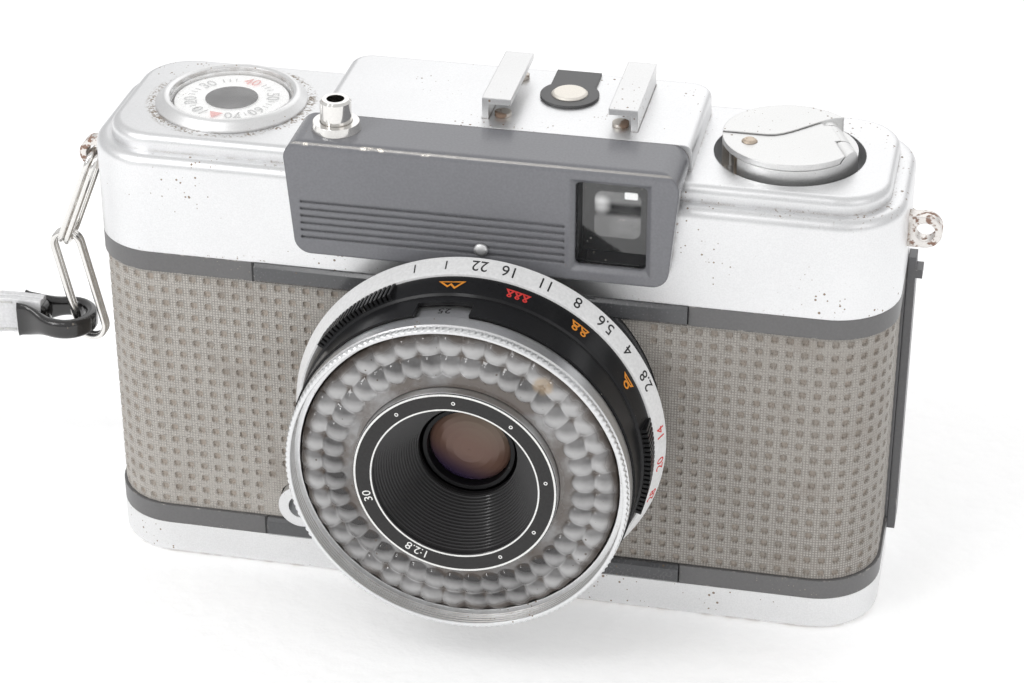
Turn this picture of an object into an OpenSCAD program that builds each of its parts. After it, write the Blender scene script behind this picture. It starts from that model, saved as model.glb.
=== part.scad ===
// Half frame 35 mm viewfinder camera with a wrist strap, standing on its base.
// Frame: origin at the mouth of the tripod socket, +X to the rewind side,
// +Y to the back, +Z up. All sizes in millimetres.

/* [Body] */
// Width over the two ends
body_w = 108; // [102:0.5:114]
// Depth from the front wall to the back
body_d = 29.5; // [29:0.25:32]
// Corner radius seen from above
body_r = 9; // [8:0.25:10]
// Sheet thickness of the covers
cover_t = 0.9; // [0.7:0.05:1.1]
// Thickness of the trim bands, the step from the cover to the casting
trim_t = 1.2; // [1.15:0.05:1.5]
// Thickness of the leatherette
skin_t = 0.8; // [0.6:0.05:1.0]

/* [Heights] */
// Height of the base cover
base_h = 5.2; // [4.6:0.1:6]
// Height of each trim band
band_h = 2.9; // [2.4:0.1:3.4]
// Height of the leatherette
skin_h = 37.4; // [36:0.2:39]
// Wall height of the top cover up to its ledge
wall_h = 13.9; // [13.4:0.1:15]
// Rise from the ledge to the deck
deck_rise = 2.2; // [1.8:0.1:2.6]
// Rise of the raised centre over the deck
hump_rise = 3.5; // [3:0.1:4.2]

/* [Top cover] */
// Width of the ledge round the deck
ledge_w = 2.2; // [1.8:0.1:2.8]
// Rounding of the shoulder under the ledge
shoulder_r = 1.4; // [1:0.1:1.7]
// Rounding of the deck and of the raised centre
deck_r = 1.2; // [0.8:0.1:1.6]
// Width of the raised centre
hump_w = 49.4; // [48:0.2:50]
// Middle of the raised centre, along X
hump_x = 1.7; // [1:0.1:2]
// Rear edge of the raised centre, along Y
hump_rear = 11.7; // [11.4:0.1:12.2]

/* [Faceplate] */
// Reach of the faceplate in front of the body
face_proud = 2.5; // [2.2:0.1:2.7]
// Width of the faceplate at the top
face_top_w = 51.2; // [50.2:0.2:52]
// Width of the faceplate at the bottom
face_low_w = 49.2; // [48:0.2:50]
// Height of the faceplate
face_h = 16; // [15.6:0.1:16.2]
// Depth of its flat roof
roof_d = 8.9; // [8.4:0.1:9.4]
// Wall of the faceplate
face_t = 1.2; // [1:0.05:1.4]
// Rounding of its upper front edge
face_r = 1.1; // [0.8:0.1:1.4]

/* [Finder] */
// Middle of the finder window, along X
finder_x = 17.45; // [16.5:0.05:18]
// Width of the finder window
window_w = 9.2; // [8.8:0.1:9.8]
// Height of the finder window
window_h = 11.8; // [11.2:0.1:12.2]
// Side of the square eyepiece
eyepiece_side = 7; // [6:0.2:7.6]

/* [Lens] */
// Lens axis, along X
lens_x = 0.8; // [0:0.1:1.5]
// Lens axis below the edge of the top cover
lens_drop = 18.5; // [18:0.1:19]
// Radius of the aperture ring
aperture_r = 25; // [24.4:0.1:25.4]
// Radius of the focus ring at its back
focus_r = 23.65; // [23.2:0.05:24]
// Radius of the film speed ring
speed_r = 22.5; // [22.3:0.05:22.9]
// Radius of the filter thread
filter_r = 21.75; // [21.6:0.05:21.9]
// Reach of the lens in front of the body
lens_reach = 19.1; // [18.8:0.1:20]
// Radius of the barrel the rings turn on
barrel_r = 21; // [20.8:0.05:21.1]
// Radius of the name ring round the lens opening
name_r = 13.4; // [12.8:0.1:14]
// Radius of the front element
element_r = 5.6; // [5:0.1:5.8]

/* [Controls] */
// Radius of the release button
button_r = 2.05; // [1.8:0.05:2.3]
// Travel of the release button
button_travel = 2; // [1.4:0.1:2.4]
// Radius of the cable release socket
cable_r = 1.15; // [1:0.05:1.2]
// Radius of the counter bezel
counter_r = 10.2; // [9.8:0.1:10.5]
// Radius of the rewind knob
knob_r = 8.8; // [8.5:0.05:9]
// Radius of the well round the rewind knob
well_r = 9.85; // [9.6:0.05:10.1]
// Lift of the rewind knob
rewind_lift = 8; // [6:0.5:9]
// Radius of the advance wheel
wheel_r = 13.6; // [13.3:0.1:14]
// Slide of the back latch
latch_travel = 3; // [2:0.25:3.5]

/* [Shoe and sockets] */
// Width between the inner faces of the shoe rails
shoe_w = 18.7; // [18.6:0.05:18.9]
// Gap between the lips of the shoe
shoe_gap = 12.8; // [12.4:0.1:13.2]
// Length of the shoe
shoe_l = 15; // [14:0.25:16]
// Height of the shoe rails
shoe_h = 3; // [2.8:0.1:3.4]
// Sheet of the shoe rails
shoe_t = 0.85; // [0.7:0.05:1]
// Radius of the tripod bore
tripod_r = 2.6; // [2.5:0.05:2.7]
// Radius of the hole in a strap lug
lug_hole_r = 1.3; // [1.2:0.05:1.4]
// Radius of the sync socket
sync_r = 3.2; // [3:0.1:3.4]

/* [Film path] */
// Radius of the cassette room
cassette_r = 12.6; // [12.4:0.05:12.9]
// Radius of the take up room
take_room_r = 11; // [10.6:0.1:11.2]
// Radius of the sprocket room
sprocket_room_r = 7.2; // [7.1:0.05:7.6]
// Floor of the rooms above the floor of the casting
room_rise = 5.5; // [5:0.1:6]
// Width of the film gate
gate_w = 17; // [16:0.25:18]
// Height of the film gate
gate_h = 24; // [23:0.25:24.5]
// Width of the pressure plate
plate_w = 28; // [26:0.5:32]
// Height of the pressure plate
plate_h = 33.5; // [32:0.25:34]
// Radius of the take up spool
spool_r = 5; // [4.4:0.1:6]
// Radius of the flanges of the take up spool
flange_r = 9.8; // [9:0.1:10.2]
// Radius of the sprocket drum
sprocket_r = 5.2; // [4.9:0.05:5.4]
// Distance from the middle of the film to its row of holes
hole_row = 14.1; // [14:0.05:14.2]

/* [Base] */
// Distance of the base screws from the ends
screw_in = 24; // [22:0.5:28]
// Place of the base screws along Y
screw_y = 6.2; // [5.5:0.1:7]
// Height of the sync socket above the base
sync_z = 11.3; // [11:0.1:12]

/* [Chain and strap] */
// Radius of the chain wire
wire_r = 0.42; // [0.36:0.02:0.46]
// Length of the upper link
link_a = 15.3; // [14:0.1:16]
// Length of the lower link
link_b = 16.7; // [15:0.1:17]
// Width of the strap
strap_w = 5.6; // [5:0.1:6]
// Thickness of one strap layer
strap_t = 1.2; // [1:0.05:1.3]

/* [Hidden] */
$fn = 64;
run = 0.06;            // radial play of a running fit
gap = 0.15;            // gap between parts that only pass each other
end_x = body_w/2;
front_y = -body_d/2;
rear_y = body_d/2;
z_skin = base_h + band_h;
z_band = z_skin + skin_h;
z_cover = z_band + band_h;
z_ledge = z_cover + wall_h;
z_deck = z_ledge + deck_rise;
z_top = z_deck + hump_rise;
lens_z = z_cover - lens_drop;
core_w = body_w - 2*trim_t;
core_d = body_d - 2*trim_t;
core_r = body_r - trim_t;
floor_z = cover_t + 0.1;
roof_z = z_cover + 3.6;
split_y = 3;
rail_y = 9;
core_half = end_x - 2.5;
face_y = front_y - face_proud;
face_z = z_top - face_h;
roof_y = face_y + roof_d;
window_z = face_z + 7.8;
end_screw_z = z_cover + 5.2;
face_x = lens_x - 0.3;
// film transport
take_x = 17.2 - end_x;
take_y = 2.6;
gear_n = 32;
gear_r = 8;
sprocket_x = take_x + 2*gear_r;
gear_z = roof_z + 0.25;
wheel_z = gear_z + 1.35;
wheel_h = 4;
bridge_z = wheel_z + wheel_h + 0.5;
// rewind
rewind_x = end_x - 16;
rewind_y = -0.3;
well_z = z_deck - 4;
knob_z = well_z + 0.5;
lever_z = z_deck + 1.6;
lever_t = 0.8;
cap_t = 1;
pin_at = [5.6, 1.9];
pin_turn = 112.7;
finger_at = [-5, -2.75];
fold_z = lever_z - 1;
hinge_bead_r = lever_z + lever_t - 0.05 - fold_z;
hinge_bead_w = 4.6;
crank_pin_r = 0.6;
// counter
counter_x = 16.8 - end_x;
counter_y = 0;
pane_low = 0.75;
// release
release_x = lens_x - 20.05;
release_y = front_y + 2.3;
// shoe
shoe_x = 8.65;
shoe_y = 1.75;
contact_x = shoe_x - 0.35;
// lens stations, measured forward from the body front
ap_s = face_proud + 0.6;
ap_l = 4.1;
fo_s = ap_s + ap_l + 0.1;
fo_l = 3.7;
sl_s = fo_s + fo_l + 0.1;
sl_l = 4.4;
sp_s = sl_s + sl_l + 0.1;
cell_s = lens_reach - 4.6;
cone_s = 11.2;
tube_r = 19.6;
// the rim of the seat reaches a little below the upper edge of the lower band
seat_r = max(tube_r + 3.8, lens_z - z_skin + 1.6);
blade_s = -4.5;
// strap end
chain_y = -1.75;
lug_x = end_x + 2.2;
lug_z = z_cover + 7.6;
link_w = 2;
tilt_a = 21.9;
tilt_b = -11.8;
a_end = [-lug_x - link_a*sin(tilt_a), lug_z - link_a*cos(tilt_a)];
nest = 2*wire_r + 0.4;
b_top = a_end + nest*[sin(tilt_b), cos(tilt_b)];
b_end = [b_top[0] - link_b*sin(tilt_b), b_top[1] - link_b*cos(tilt_b)];
loop_h = 2.8;
loop_t = 1.6;
loop_r = 4.2;
loop_l = 11;
clamp_h = 5;
clamp_w = 2*strap_t + 2.2;
loop_x = b_end[0] + 0.25;
loop_tail = loop_x - loop_l;
strap_z = b_end[1] + wire_r + 0.6 + loop_h/2;
// hinge of the back
hinge_x = 0.8 - end_x;
hinge_y = split_y + 0.6;
hinge_r = 1.3;
knuckle_z = z_skin + 11;
knuckle_h = 16;
door_z0 = base_h + gap;
door_z1 = z_cover - gap;
door_t = 1.3;
door_back = rear_y - skin_t;

// Rounded outline seen from above
module plan(w, d, r) {
  square([w - 2*r, d], center = true);
  square([w, d - 2*r], center = true);
  for (sx = [-1, 1], sy = [-1, 1])
    translate([sx*(w/2 - r), sy*(d/2 - r)])
      circle(r);
}

module slab(w, d, r, h) {
  linear_extrude(h)
    plan(w, d, r);
}

// Upright outline with its two top corners rounded
module arch(w, h, f) {
  translate([-w/2, 0])
    square([w, h - f]);
  translate([-w/2 + f, 0])
    square([w - 2*f, h]);
  for (s = [-1, 1])
    translate([s*(w/2 - f), h - f])
      circle(f);
}

// Slab with its top edge rounded by f
module soft_slab(w, d, r, h, f) {
  rotate([90, 0, 0])
    linear_extrude(d - 2*r, center = true)
      arch(w, h, f);
  rotate([90, 0, 90])
    linear_extrude(w - 2*r, center = true)
      arch(d, h, f);
  for (sx = [-1, 1], sy = [-1, 1])
    translate([sx*(w/2 - r), sy*(d/2 - r), 0])
      rotate_extrude()
        intersection() {
          arch(2*r, h, f);
          square([r, h]);
        }
}

// Arc of points about c, from angle a to angle b
function arc(c, r, a, b, n = 8) = [for (i = [0:n]) c + r*[cos(a + (b - a)*i/n), sin(a + (b - a)*i/n)]];

// Children stand on the lens axis, +Z forward, from the body front
module on_lens() {
  translate([lens_x, front_y, lens_z])
    rotate([90, 0, 0])
      children();
}

module tube(r_out, r_in, h) {
  difference() {
    cylinder(r = r_out, h = h);
    translate([0, 0, -1])
      cylinder(r = r_in, h = h + 2);
  }
}

// Everything in front of y
module ahead_of(y) {
  translate([-200, y - 200, -100])
    cube([400, 200, 300]);
}

// Pocket open to the back
module pocket(x, y, r, z0, z1) {
  translate([x, y, z0])
    cylinder(r = r, h = z1 - z0);
  translate([x - r, y, z0])
    cube([2*r, 40, z1 - z0]);
}

module chassis() {
  color("dimgray")
    difference() {
      union() {
        intersection() {
          translate([0, 0, floor_z])
            slab(core_w, core_d, core_r, roof_z - floor_z);
          ahead_of(split_y);
        }
        translate([-core_half, split_y - 1, floor_z])
          cube([2*core_half, rail_y - split_y + 1, roof_z - floor_z]);
        translate([0, 0, floor_z])
          slab(core_w, core_d, core_r, base_h - floor_z);
        translate([0, 0, z_cover])
          slab(core_w, core_d, core_r, roof_z - z_cover);
        translate([hinge_x, hinge_y, knuckle_z])
          cylinder(r = hinge_r, h = knuckle_h);
      }
      // cassette, take up and sprocket rooms
      pocket(rewind_x, 0, cassette_r, floor_z + room_rise, roof_z - 1.2);
      pocket(take_x, take_y, take_room_r, floor_z + room_rise, roof_z - 1.2);
      pocket(sprocket_x, take_y, sprocket_room_r, floor_z + room_rise + 1, roof_z - 2.2);
      // shutter opening, light tunnel and film gate
      on_lens()
        translate([0, 0, -9.6])
          cylinder(r = tube_r + gap, h = 12);
      translate([lens_x - gate_w/2 - 1.5, front_y + 5, lens_z - gate_h/2 - 1])
        cube([gate_w + 3, rail_y - 3 - front_y - 5, gate_h + 2]);
      translate([lens_x - gate_w/2, 0, lens_z - gate_h/2])
        cube([gate_w, 20, gate_h]);
      // bores
      translate([0, 0, -1])
        cylinder(r = 5 + gap, h = 8);
      for (x = [take_x, sprocket_x])
        translate([x, take_y, roof_z - 3])
          cylinder(r = 1.5 + run, h = 5);
      translate([take_x, take_y, floor_z + room_rise - 1.6])
        cylinder(r = 1.2 + run, h = 4);
      translate([sprocket_x, take_y, -1])
        cylinder(r = 2.2 + run, h = 5.5);
      translate([sprocket_x, take_y, floor_z + room_rise - 0.5])
        cylinder(r = 1.2 + run, h = 4);
      translate([rewind_x, rewind_y, roof_z - 3])
        cylinder(r = 4.2, h = 5);
      translate([hinge_x, hinge_y, 0])
        cylinder(r = 0.7 + run, h = 60);
      // room for the knuckles of the door
      for (z = [door_z0 - gap, knuckle_z + knuckle_h - 0.2])
        translate([hinge_x, hinge_y, z])
          cylinder(r = hinge_r + 0.35, h = (z < knuckle_z ? knuckle_z - 0.1 : z_cover) - z);
      // seat of the sync socket
      translate([lens_x - 26, front_y - 1, sync_z])
        rotate([-90, 0, 0])
          cylinder(r = sync_r - 0.6, h = 8);
      for (s = [-1, 1])
        translate([s*(end_x - screw_in), screw_y, -1])
          cylinder(r = 0.9, h = 6);
    }
}

module top_cover() {
  hump_l = hump_rear - roof_y;
  color("silver")
    difference() {
      union() {
        translate([0, 0, z_cover])
          soft_slab(body_w, body_d, body_r, wall_h, shoulder_r);
        translate([0, 0, z_cover + 2])
          soft_slab(body_w - 2*ledge_w, body_d - 2*ledge_w, body_r - ledge_w, z_deck - z_cover - 2, deck_r);
        intersection() {
          translate([hump_x, hump_rear - 12, z_cover + 2])
            soft_slab(hump_w, 24, 3, z_top - z_cover - 2, deck_r);
          translate([-60, roof_y + 0.05, 0])
            cube([120, hump_l + 5, 200]);
        }
      }
      // inside of the shell
      difference() {
        union() {
          translate([0, 0, z_cover - 1])
            slab(body_w - 2*cover_t, body_d - 2*cover_t, body_r - cover_t, wall_h + 1 - cover_t - 0.4);
          translate([0, 0, z_cover])
            slab(body_w - 2*ledge_w - 2*cover_t, body_d - 2*ledge_w - 2*cover_t, body_r - ledge_w - cover_t,
              z_deck - z_cover - cover_t);
          translate([hump_x - hump_w/2 + cover_t, roof_y - 2, z_cover])
            cube([hump_w - 2*cover_t, hump_rear - cover_t - roof_y + 2, z_top - z_cover - cover_t]);
        }
        translate([rewind_x, rewind_y, well_z - cover_t])
          cylinder(r = well_r + cover_t, h = 20);
      }
      // room behind the faceplate
      translate([face_x - face_low_w/2 + 1.1, front_y - 5, face_z + 1.2])
        cube([face_low_w - 2.2, roof_y - front_y + 5 + 0.05, 40]);
      on_lens()
        translate([0, 0, -12])
          cylinder(r = tube_r + gap, h = 16);
      // rewind well and its bush
      translate([rewind_x, rewind_y, well_z])
        cylinder(r = well_r, h = 20);
      translate([rewind_x, rewind_y, well_z - 2])
        cylinder(r = 4.2, h = 5);
      // counter opening
      translate([counter_x, counter_y, z_deck - 3])
        cylinder(r = 8.6, h = 10);
      // slots of the shoe rails and hole of the contact
      for (s = [-1, 1])
        translate([shoe_x + s*(shoe_w + shoe_t)/2, shoe_y, z_top])
          cube([shoe_t + 0.1, shoe_l + 0.1, 6], center = true);
      translate([contact_x, shoe_y + 1.5, z_top - 3])
        cylinder(r = 2.6, h = 6);
      for (s = [-1, 1], t = [-1, 1])
        translate([shoe_x + s*(shoe_w/2 - 1.6), shoe_y + t*(shoe_l/2 - 1.6), z_top - 3])
          cylinder(r = 0.5, h = 6);
      // eyepiece
      translate([finder_x - eyepiece_side/2 - 0.6, rear_y - 4, eye_z - eyepiece_side/2 - 0.6])
        cube([eyepiece_side + 1.2, 8, eyepiece_side + 1.2]);
      // slot of the advance wheel
      translate([take_x, take_y, wheel_z - 0.5])
        cylinder(r = wheel_r + 0.4, h = wheel_h + 1);
      // strap lugs
      for (s = [-1, 1])
        translate([s*end_x, chain_y, lug_z])
          cube([4, 2.1, 4.4], center = true);
      for (s = [-1, 1])
        translate([s*end_x, 5.4, end_screw_z])
          rotate([0, 90, 0])
            cylinder(r = 0.75, h = 6, center = true);
    }
}

module base_cover() {
  color("silver")
    difference() {
      translate([0, 0, base_h])
        rotate([180, 0, 0])
          soft_slab(body_w, body_d, body_r, base_h, 1.1);
      translate([0, 0, cover_t])
        slab(body_w - 2*cover_t, body_d - 2*cover_t, body_r - cover_t, base_h);
      translate([0, 0, -1])
        cylinder(r = 6 + gap, h = 5);
      translate([sprocket_x, take_y, -1])
        cylinder(r = 2.2 + gap, h = 5);
      for (s = [-1, 1])
        translate([s*(end_x - screw_in), screw_y, -1])
          cylinder(r = 0.9, h = 5);
      for (s = [-1, 1])
        translate([s*(end_x - screw_in), screw_y, -0.1])
          cylinder(r = 1.8, h = 0.6);
    }
}

// Shell that wraps the front of the casting between two depths
module wrap(z, h, t_in, t_out) {
  translate([0, 0, z])
    linear_extrude(h)
      intersection() {
        difference() {
          plan(body_w - 2*t_out, body_d - 2*t_out, body_r - t_out);
          plan(body_w - 2*t_in, body_d - 2*t_in, body_r - t_in);
        }
        union() {
          translate([-100, -100])
            square([100, 100 + hinge_y - hinge_r - 0.6]);
          translate([-1, -100])
            square([100, 100 + split_y]);
        }
      }
}

seam_a = lens_x - 31.3;
seam_b = lens_x + 26.6;

module trim_bands() {
  color("gray")
    difference() {
      union() {
        wrap(base_h + 0.02, band_h - 0.04, trim_t, 0);
        wrap(z_band + 0.02, band_h - 0.04, trim_t, 0);
      }
      translate([seam_a - 0.1, front_y - 5, 0])
        cube([seam_b - seam_a + 0.2, 12, 100]);
      translate([lens_x - 26, front_y - 1, sync_z])
        rotate([-90, 0, 0])
          cylinder(r = sync_r + gap, h = 8);
    }
}

// Bevelled strip between the trim bands
module strip(z) {
  translate([seam_a, front_y + trim_t, z])
    rotate([90, 0, 90])
      linear_extrude(seam_b - seam_a)
        polygon([[0, 0.02], [0, band_h - 0.02], [-trim_t - 0.1, band_h - 0.02],
          [-trim_t - 0.55, band_h - 0.5], [-trim_t - 0.55, 0.5], [-trim_t - 0.1, 0.02]]);
}

module escutcheon() {
  color("gray")
    difference() {
      union() {
        strip(base_h);
        strip(z_band);
        intersection() {
          on_lens()
            translate([0, 0, -trim_t])
              cylinder(r = seat_r, h = trim_t + 0.3);
          translate([-60, -60, base_h + 0.02])
            cube([120, 120, z_cover - base_h - 0.04]);
        }
      }
      on_lens()
        translate([0, 0, -5])
          cylinder(r = tube_r + gap, h = 10);
      translate([lens_x - 26, front_y - 1.5, sync_z])
        rotate([-90, 0, 0])
          cylinder(r = sync_r + gap, h = 8);
    }
}

module skin(side) {
  color("rosybrown")
    difference() {
      intersection() {
        wrap(z_skin + 0.02, skin_h - 0.04, trim_t, trim_t - skin_t);
        translate([side < 0 ? -100 : lens_x, -100, 0])
          cube([100 + lens_x, 200, 100]);
      }
      on_lens()
        translate([0, 0, -20])
          cylinder(r = seat_r + gap, h = 40);
      translate([lens_x - 26, front_y - 1, sync_z])
        rotate([-90, 0, 0])
          cylinder(r = sync_r + gap, h = 8);
    }
}

module skin_left() {
  skin(-1);
}

module skin_right() {
  skin(1);
}

// Faceplate outline, drawn as x and z, set in by t
function face_line(t, r, q) =
  let (a = face_low_w/2 - t, b = face_top_w/2 - t, z0 = face_z + t, z1 = z_top - t)
  [for (p = concat(arc([-a + r, z0 + r], r, 180, 270), arc([a - r, z0 + r], r, 270, 360),
    arc([b - q, z1 - q], q, 0, 90), arc([q - b, z1 - q], q, 90, 180))) p + [face_x, 0]];

// Side of the faceplate with its upper front edge rounded
module face_side() {
  translate([-60, 0, 0])
    rotate([90, 0, 90])
      linear_extrude(120)
        polygon(concat([[40, 0], [face_y, 0]], arc([face_y + face_r, z_top - face_r], face_r, 180, 90),
          [[40, z_top]]));
}

// Outline of a window with rounded corners
function pane_line(w, h, r) = concat(arc([w/2 - r, h/2 - r], r, 0, 90), arc([r - w/2, h/2 - r], r, 90, 180),
  arc([r - w/2, r - h/2], r, 180, 270), arc([w/2 - r, r - h/2], r, 270, 360));

module faceplate() {
  wb = window_w/2 + 0.6;
  hb = window_h/2 + 0.6;
  color("darkgray")
    difference() {
      intersection() {
        face_side();
        union() {
          translate([0, front_y, 0])
            rotate([90, 0, 0])
              linear_extrude(face_proud)
                polygon(face_line(0, 2.2, 2.4));
          intersection() {
            translate([0, roof_y, 0])
              rotate([90, 0, 0])
                linear_extrude(roof_d)
                  polygon(face_line(0, 2.2, 2.4));
            translate([-60, -60, z_deck + 0.02])
              cube([120, 120, 60]);
          }
        }
      }
      // hollow behind the front and under the roof
      translate([0, roof_y + 1, 0])
        rotate([90, 0, 0])
          linear_extrude(roof_d + 1 - face_t)
            polygon(face_line(face_t, 0.3, 1.2));
      // finder window with its sloped border
      translate([finder_x, face_y, window_z]) {
        rotate([-90, 0, 0])
          linear_extrude(6)
            polygon(pane_line(window_w, window_h, 0.7));
        intersection() {
          linear_extrude(40, center = true)
            polygon([[-wb, -0.01], [wb, -0.01], [window_w/2, 0.6], [-window_w/2, 0.6]]);
          rotate([90, 0, 90])
            linear_extrude(40, center = true)
              polygon([[-0.01, -hb], [-0.01, hb], [0.6, window_h/2], [0.6, -window_h/2]]);
        }
      }
      // release hole
      translate([release_x, release_y, z_top - 3])
        cylinder(r = button_r + 0.5, h = 6);
      // six fine grooves
      for (i = [0:5])
        translate([lens_x - 23.9, face_y - 0.1, face_z + 2.2 + i*1.02])
          cube([34.7, 0.35, 0.34]);
      // seat of the bead
      translate([lens_x, face_y - 1, face_z + 3.1])
        rotate([-90, 0, 0])
          cylinder(r = 0.5, h = 6);
    }
}

module index_bead() {
  color("white")
    translate([lens_x, face_y, face_z + 3.1])
      rotate([90, 0, 0]) {
        cylinder(r = 1, h = 0.35);
        translate([0, 0, 0.35])
          cylinder(r1 = 1, r2 = 0.6, h = 0.25);
        translate([0, 0, -0.9])
          cylinder(r = 0.46, h = 0.9);
      }
}

module finder_window() {
  color("lightblue")
    translate([finder_x - window_w/2 - 0.3, face_y + face_t + 0.02, window_z - window_h/2 - 0.3])
      cube([window_w + 0.6, 0.8, window_h + 0.6]);
}

finder_y0 = face_y + face_t + 0.9;
finder_y1 = rear_y - 1.2;
eye_z = z_cover + 8.4;

module finder_housing() {
  ow = window_w + 0.6;
  oh = window_h + 0.6;
  es = eyepiece_side;
  color("black")
    difference() {
      union() {
        translate([finder_x - ow/2, finder_y0, window_z - oh/2])
          cube([ow, 16, oh]);
        translate([finder_x - es/2 - 1, finder_y0 + 14, eye_z - es/2 - 0.5])
          cube([es + 2, finder_y1 - finder_y0 - 14, es + 1]);
        translate([finder_x - ow/2, finder_y0 + 2, roof_z + 0.02])
          cube([ow, 11, 3]);
      }
      translate([finder_x - ow/2 + 0.5, finder_y0 - 1, window_z - oh/2 + 0.5])
        cube([ow - 1, 16, oh - 1]);
      translate([finder_x - es/2, finder_y0, eye_z - es/2 + 0.5])
        cube([es, 40, es - 1]);
    }
}

module finder_lens() {
  color("lightblue")
    translate([finder_x - window_w/2 + 0.22, finder_y0 + 2.5, window_z - window_h/2 + 0.22])
      cube([window_w - 0.44, 1.8, window_h - 0.44]);
}

module eyepiece_lens() {
  color("lightblue")
    translate([finder_x - eyepiece_side/2 - 0.4, finder_y1 + 0.02, eye_z - eyepiece_side/2 - 0.3])
      cube([eyepiece_side + 0.8, 0.9, eyepiece_side + 0.6]);
}

module release_collar() {
  color("silver")
    translate([release_x, release_y, z_top - 1.2])
      difference() {
        union() {
          cylinder(r = button_r + 0.46, h = 1.4);
          translate([0, 0, 1.21])
            cylinder(r1 = 3.2, r2 = 3, h = 1.1);
        }
        translate([0, 0, -1])
          cylinder(r = button_r + run, h = 5);
      }
}

module release_button() {
  rise = 2.2 + button_travel;
  foot = roof_z + 3 + button_travel - z_top;
  color("gainsboro")
    translate([release_x, release_y, z_top])
      difference() {
        union() {
          translate([0, 0, -3])
            cylinder(r = button_r, h = rise + 2.7);
          translate([0, 0, rise - 0.3])
            cylinder(r1 = button_r, r2 = button_r - 0.3, h = 0.3);
          translate([0, 0, foot])
            cylinder(r = 1.1, h = -2.5 - foot);
        }
        translate([0, 0, 0.2])
          cylinder(r = cable_r, h = 6);
      }
}

module counter_bezel() {
  c = counter_r;
  color("silver")
    translate([counter_x, counter_y, z_deck])
      rotate_extrude()
        polygon([[8, -0.7], [8.5, -0.7], [8.5, 0.02], [c, 0.02], [c, 0.3], [c - 0.9, 1.2], [c - 1.2, 1.4],
          [c - 1.5, 1.4], [8.3, 1.2], [8.3, pane_low], [8, pane_low]]);
}

module counter_window() {
  color("lightblue")
    translate([counter_x, counter_y, z_deck + pane_low])
      cylinder(r = 8.25, h = 0.4);
}

module counter_dial() {
  stem = z_deck + pane_low - 0.5 - bridge_z;
  color("white")
    translate([counter_x, counter_y, bridge_z]) {
      translate([0, 0, stem - 0.35])
        cylinder(r = 7.7, h = 0.35);
      translate([0, 0, stem - 0.05])
        cylinder(r = 3.4, h = 0.25);
      translate([0, 0, -0.3])
        cylinder(r = 1.2, h = stem);
      translate([0, 0, 1.1])
        cylinder(r = 2, h = stem - 1.3);
    }
}

bridge_posts = [[take_x - 11.4, -9.2], [take_x + 10.8, -10.4]];

module counter_bridge() {
  color("tan")
    difference() {
      union() {
        translate([take_x - 13.4, -11.8, bridge_z])
          cube([26.6, 18.4, 1]);
        for (p = bridge_posts)
          translate([p[0], p[1], roof_z + 0.02])
            cylinder(r = 1.3, h = bridge_z - roof_z);
      }
      translate([counter_x, counter_y, bridge_z - 1])
        cylinder(r = 1.2 + run, h = 3);
      translate([take_x, take_y, bridge_z - 1])
        cylinder(r = 1.0 + run, h = 3);
    }
}

module shoe_rails() {
  color("silver")
    for (s = [-1, 1])
      translate([shoe_x, shoe_y, z_top])
        scale([s, 1, 1])
          rotate([90, 0, 0])
            linear_extrude(shoe_l, center = true)
              union() {
                translate([shoe_w/2, -1.6])
                  square([shoe_t, shoe_h + 1.6]);
                translate([shoe_gap/2, shoe_h - shoe_t])
                  square([(shoe_w - shoe_gap)/2 + shoe_t, shoe_t]);
                translate([shoe_w/2, -1.6])
                  square([1.5 + shoe_t, 0.65]);
              }
}

module shoe_insulator() {
  color("black")
    difference() {
      translate([contact_x, shoe_y + 1.5, z_top + 0.02]) {
        cylinder(r = 3.9, h = 0.35);
        translate([-3, 0, 0])
          cube([6, hump_rear - deck_r - shoe_y - 1.5, 0.35]);
        translate([0, 0, -1])
          cylinder(r = 2.5, h = 1.2);
      }
      translate([contact_x, shoe_y + 1.5, z_top - 3])
        cylinder(r = 1.5, h = 6);
    }
}

module shoe_contact() {
  color("silver")
    translate([contact_x, shoe_y + 1.5, z_top]) {
      translate([0, 0, 0.4])
        cylinder(r1 = 2.45, r2 = 2.1, h = 0.3);
      translate([0, 0, -2.4])
        cylinder(r = 1.46, h = 2.9);
    }
}

module screws() {
  color("silver") {
    for (s = [-1, 1], t = [-1, 1])
      translate([shoe_x + s*(shoe_w/2 - 1.6), shoe_y + t*(shoe_l/2 - 1.6), z_top + 0.02]) {
        cylinder(r = 1.1, h = 0.5);
        translate([0, 0, -1.2])
          cylinder(r = 0.46, h = 1.3);
      }
    for (s = [-1, 1])
      translate([s*(end_x - screw_in), screw_y, 0]) {
        difference() {
          translate([0, 0, 0.05])
            cylinder(r = 1.7, h = 0.43);
          translate([-2, -0.2, -0.2])
            cube([4, 0.4, 0.45]);
        }
        translate([0, 0, 0.4])
          cylinder(r = 0.85, h = 4);
      }
    for (s = [-1, 1])
      translate([s*(end_x + 0.02), 5.4, end_screw_z])
        rotate([0, s*90, 0]) {
          cylinder(r1 = 1.5, r2 = 1.2, h = 0.5);
          translate([0, 0, -1.8])
            cylinder(r = 0.7, h = 1.9);
        }
  }
}

module strap_lugs() {
  color("silver")
    for (s = [-1, 1])
      translate([s*lug_x, chain_y, lug_z])
        difference() {
          union() {
            rotate([90, 0, 0])
              cylinder(r = 2.2, h = 2.04, center = true);
            translate([s < 0 ? 0 : -4.2, -1.02, -2.2])
              cube([4.2, 2.04, 4.36]);
            translate([s < 0 ? 3.3 : -4.2, -2.5, -3])
              cube([0.9, 5, 6]);
          }
          rotate([90, 0, 0])
            cylinder(r = lug_hole_r, h = 6, center = true);
        }
}

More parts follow.
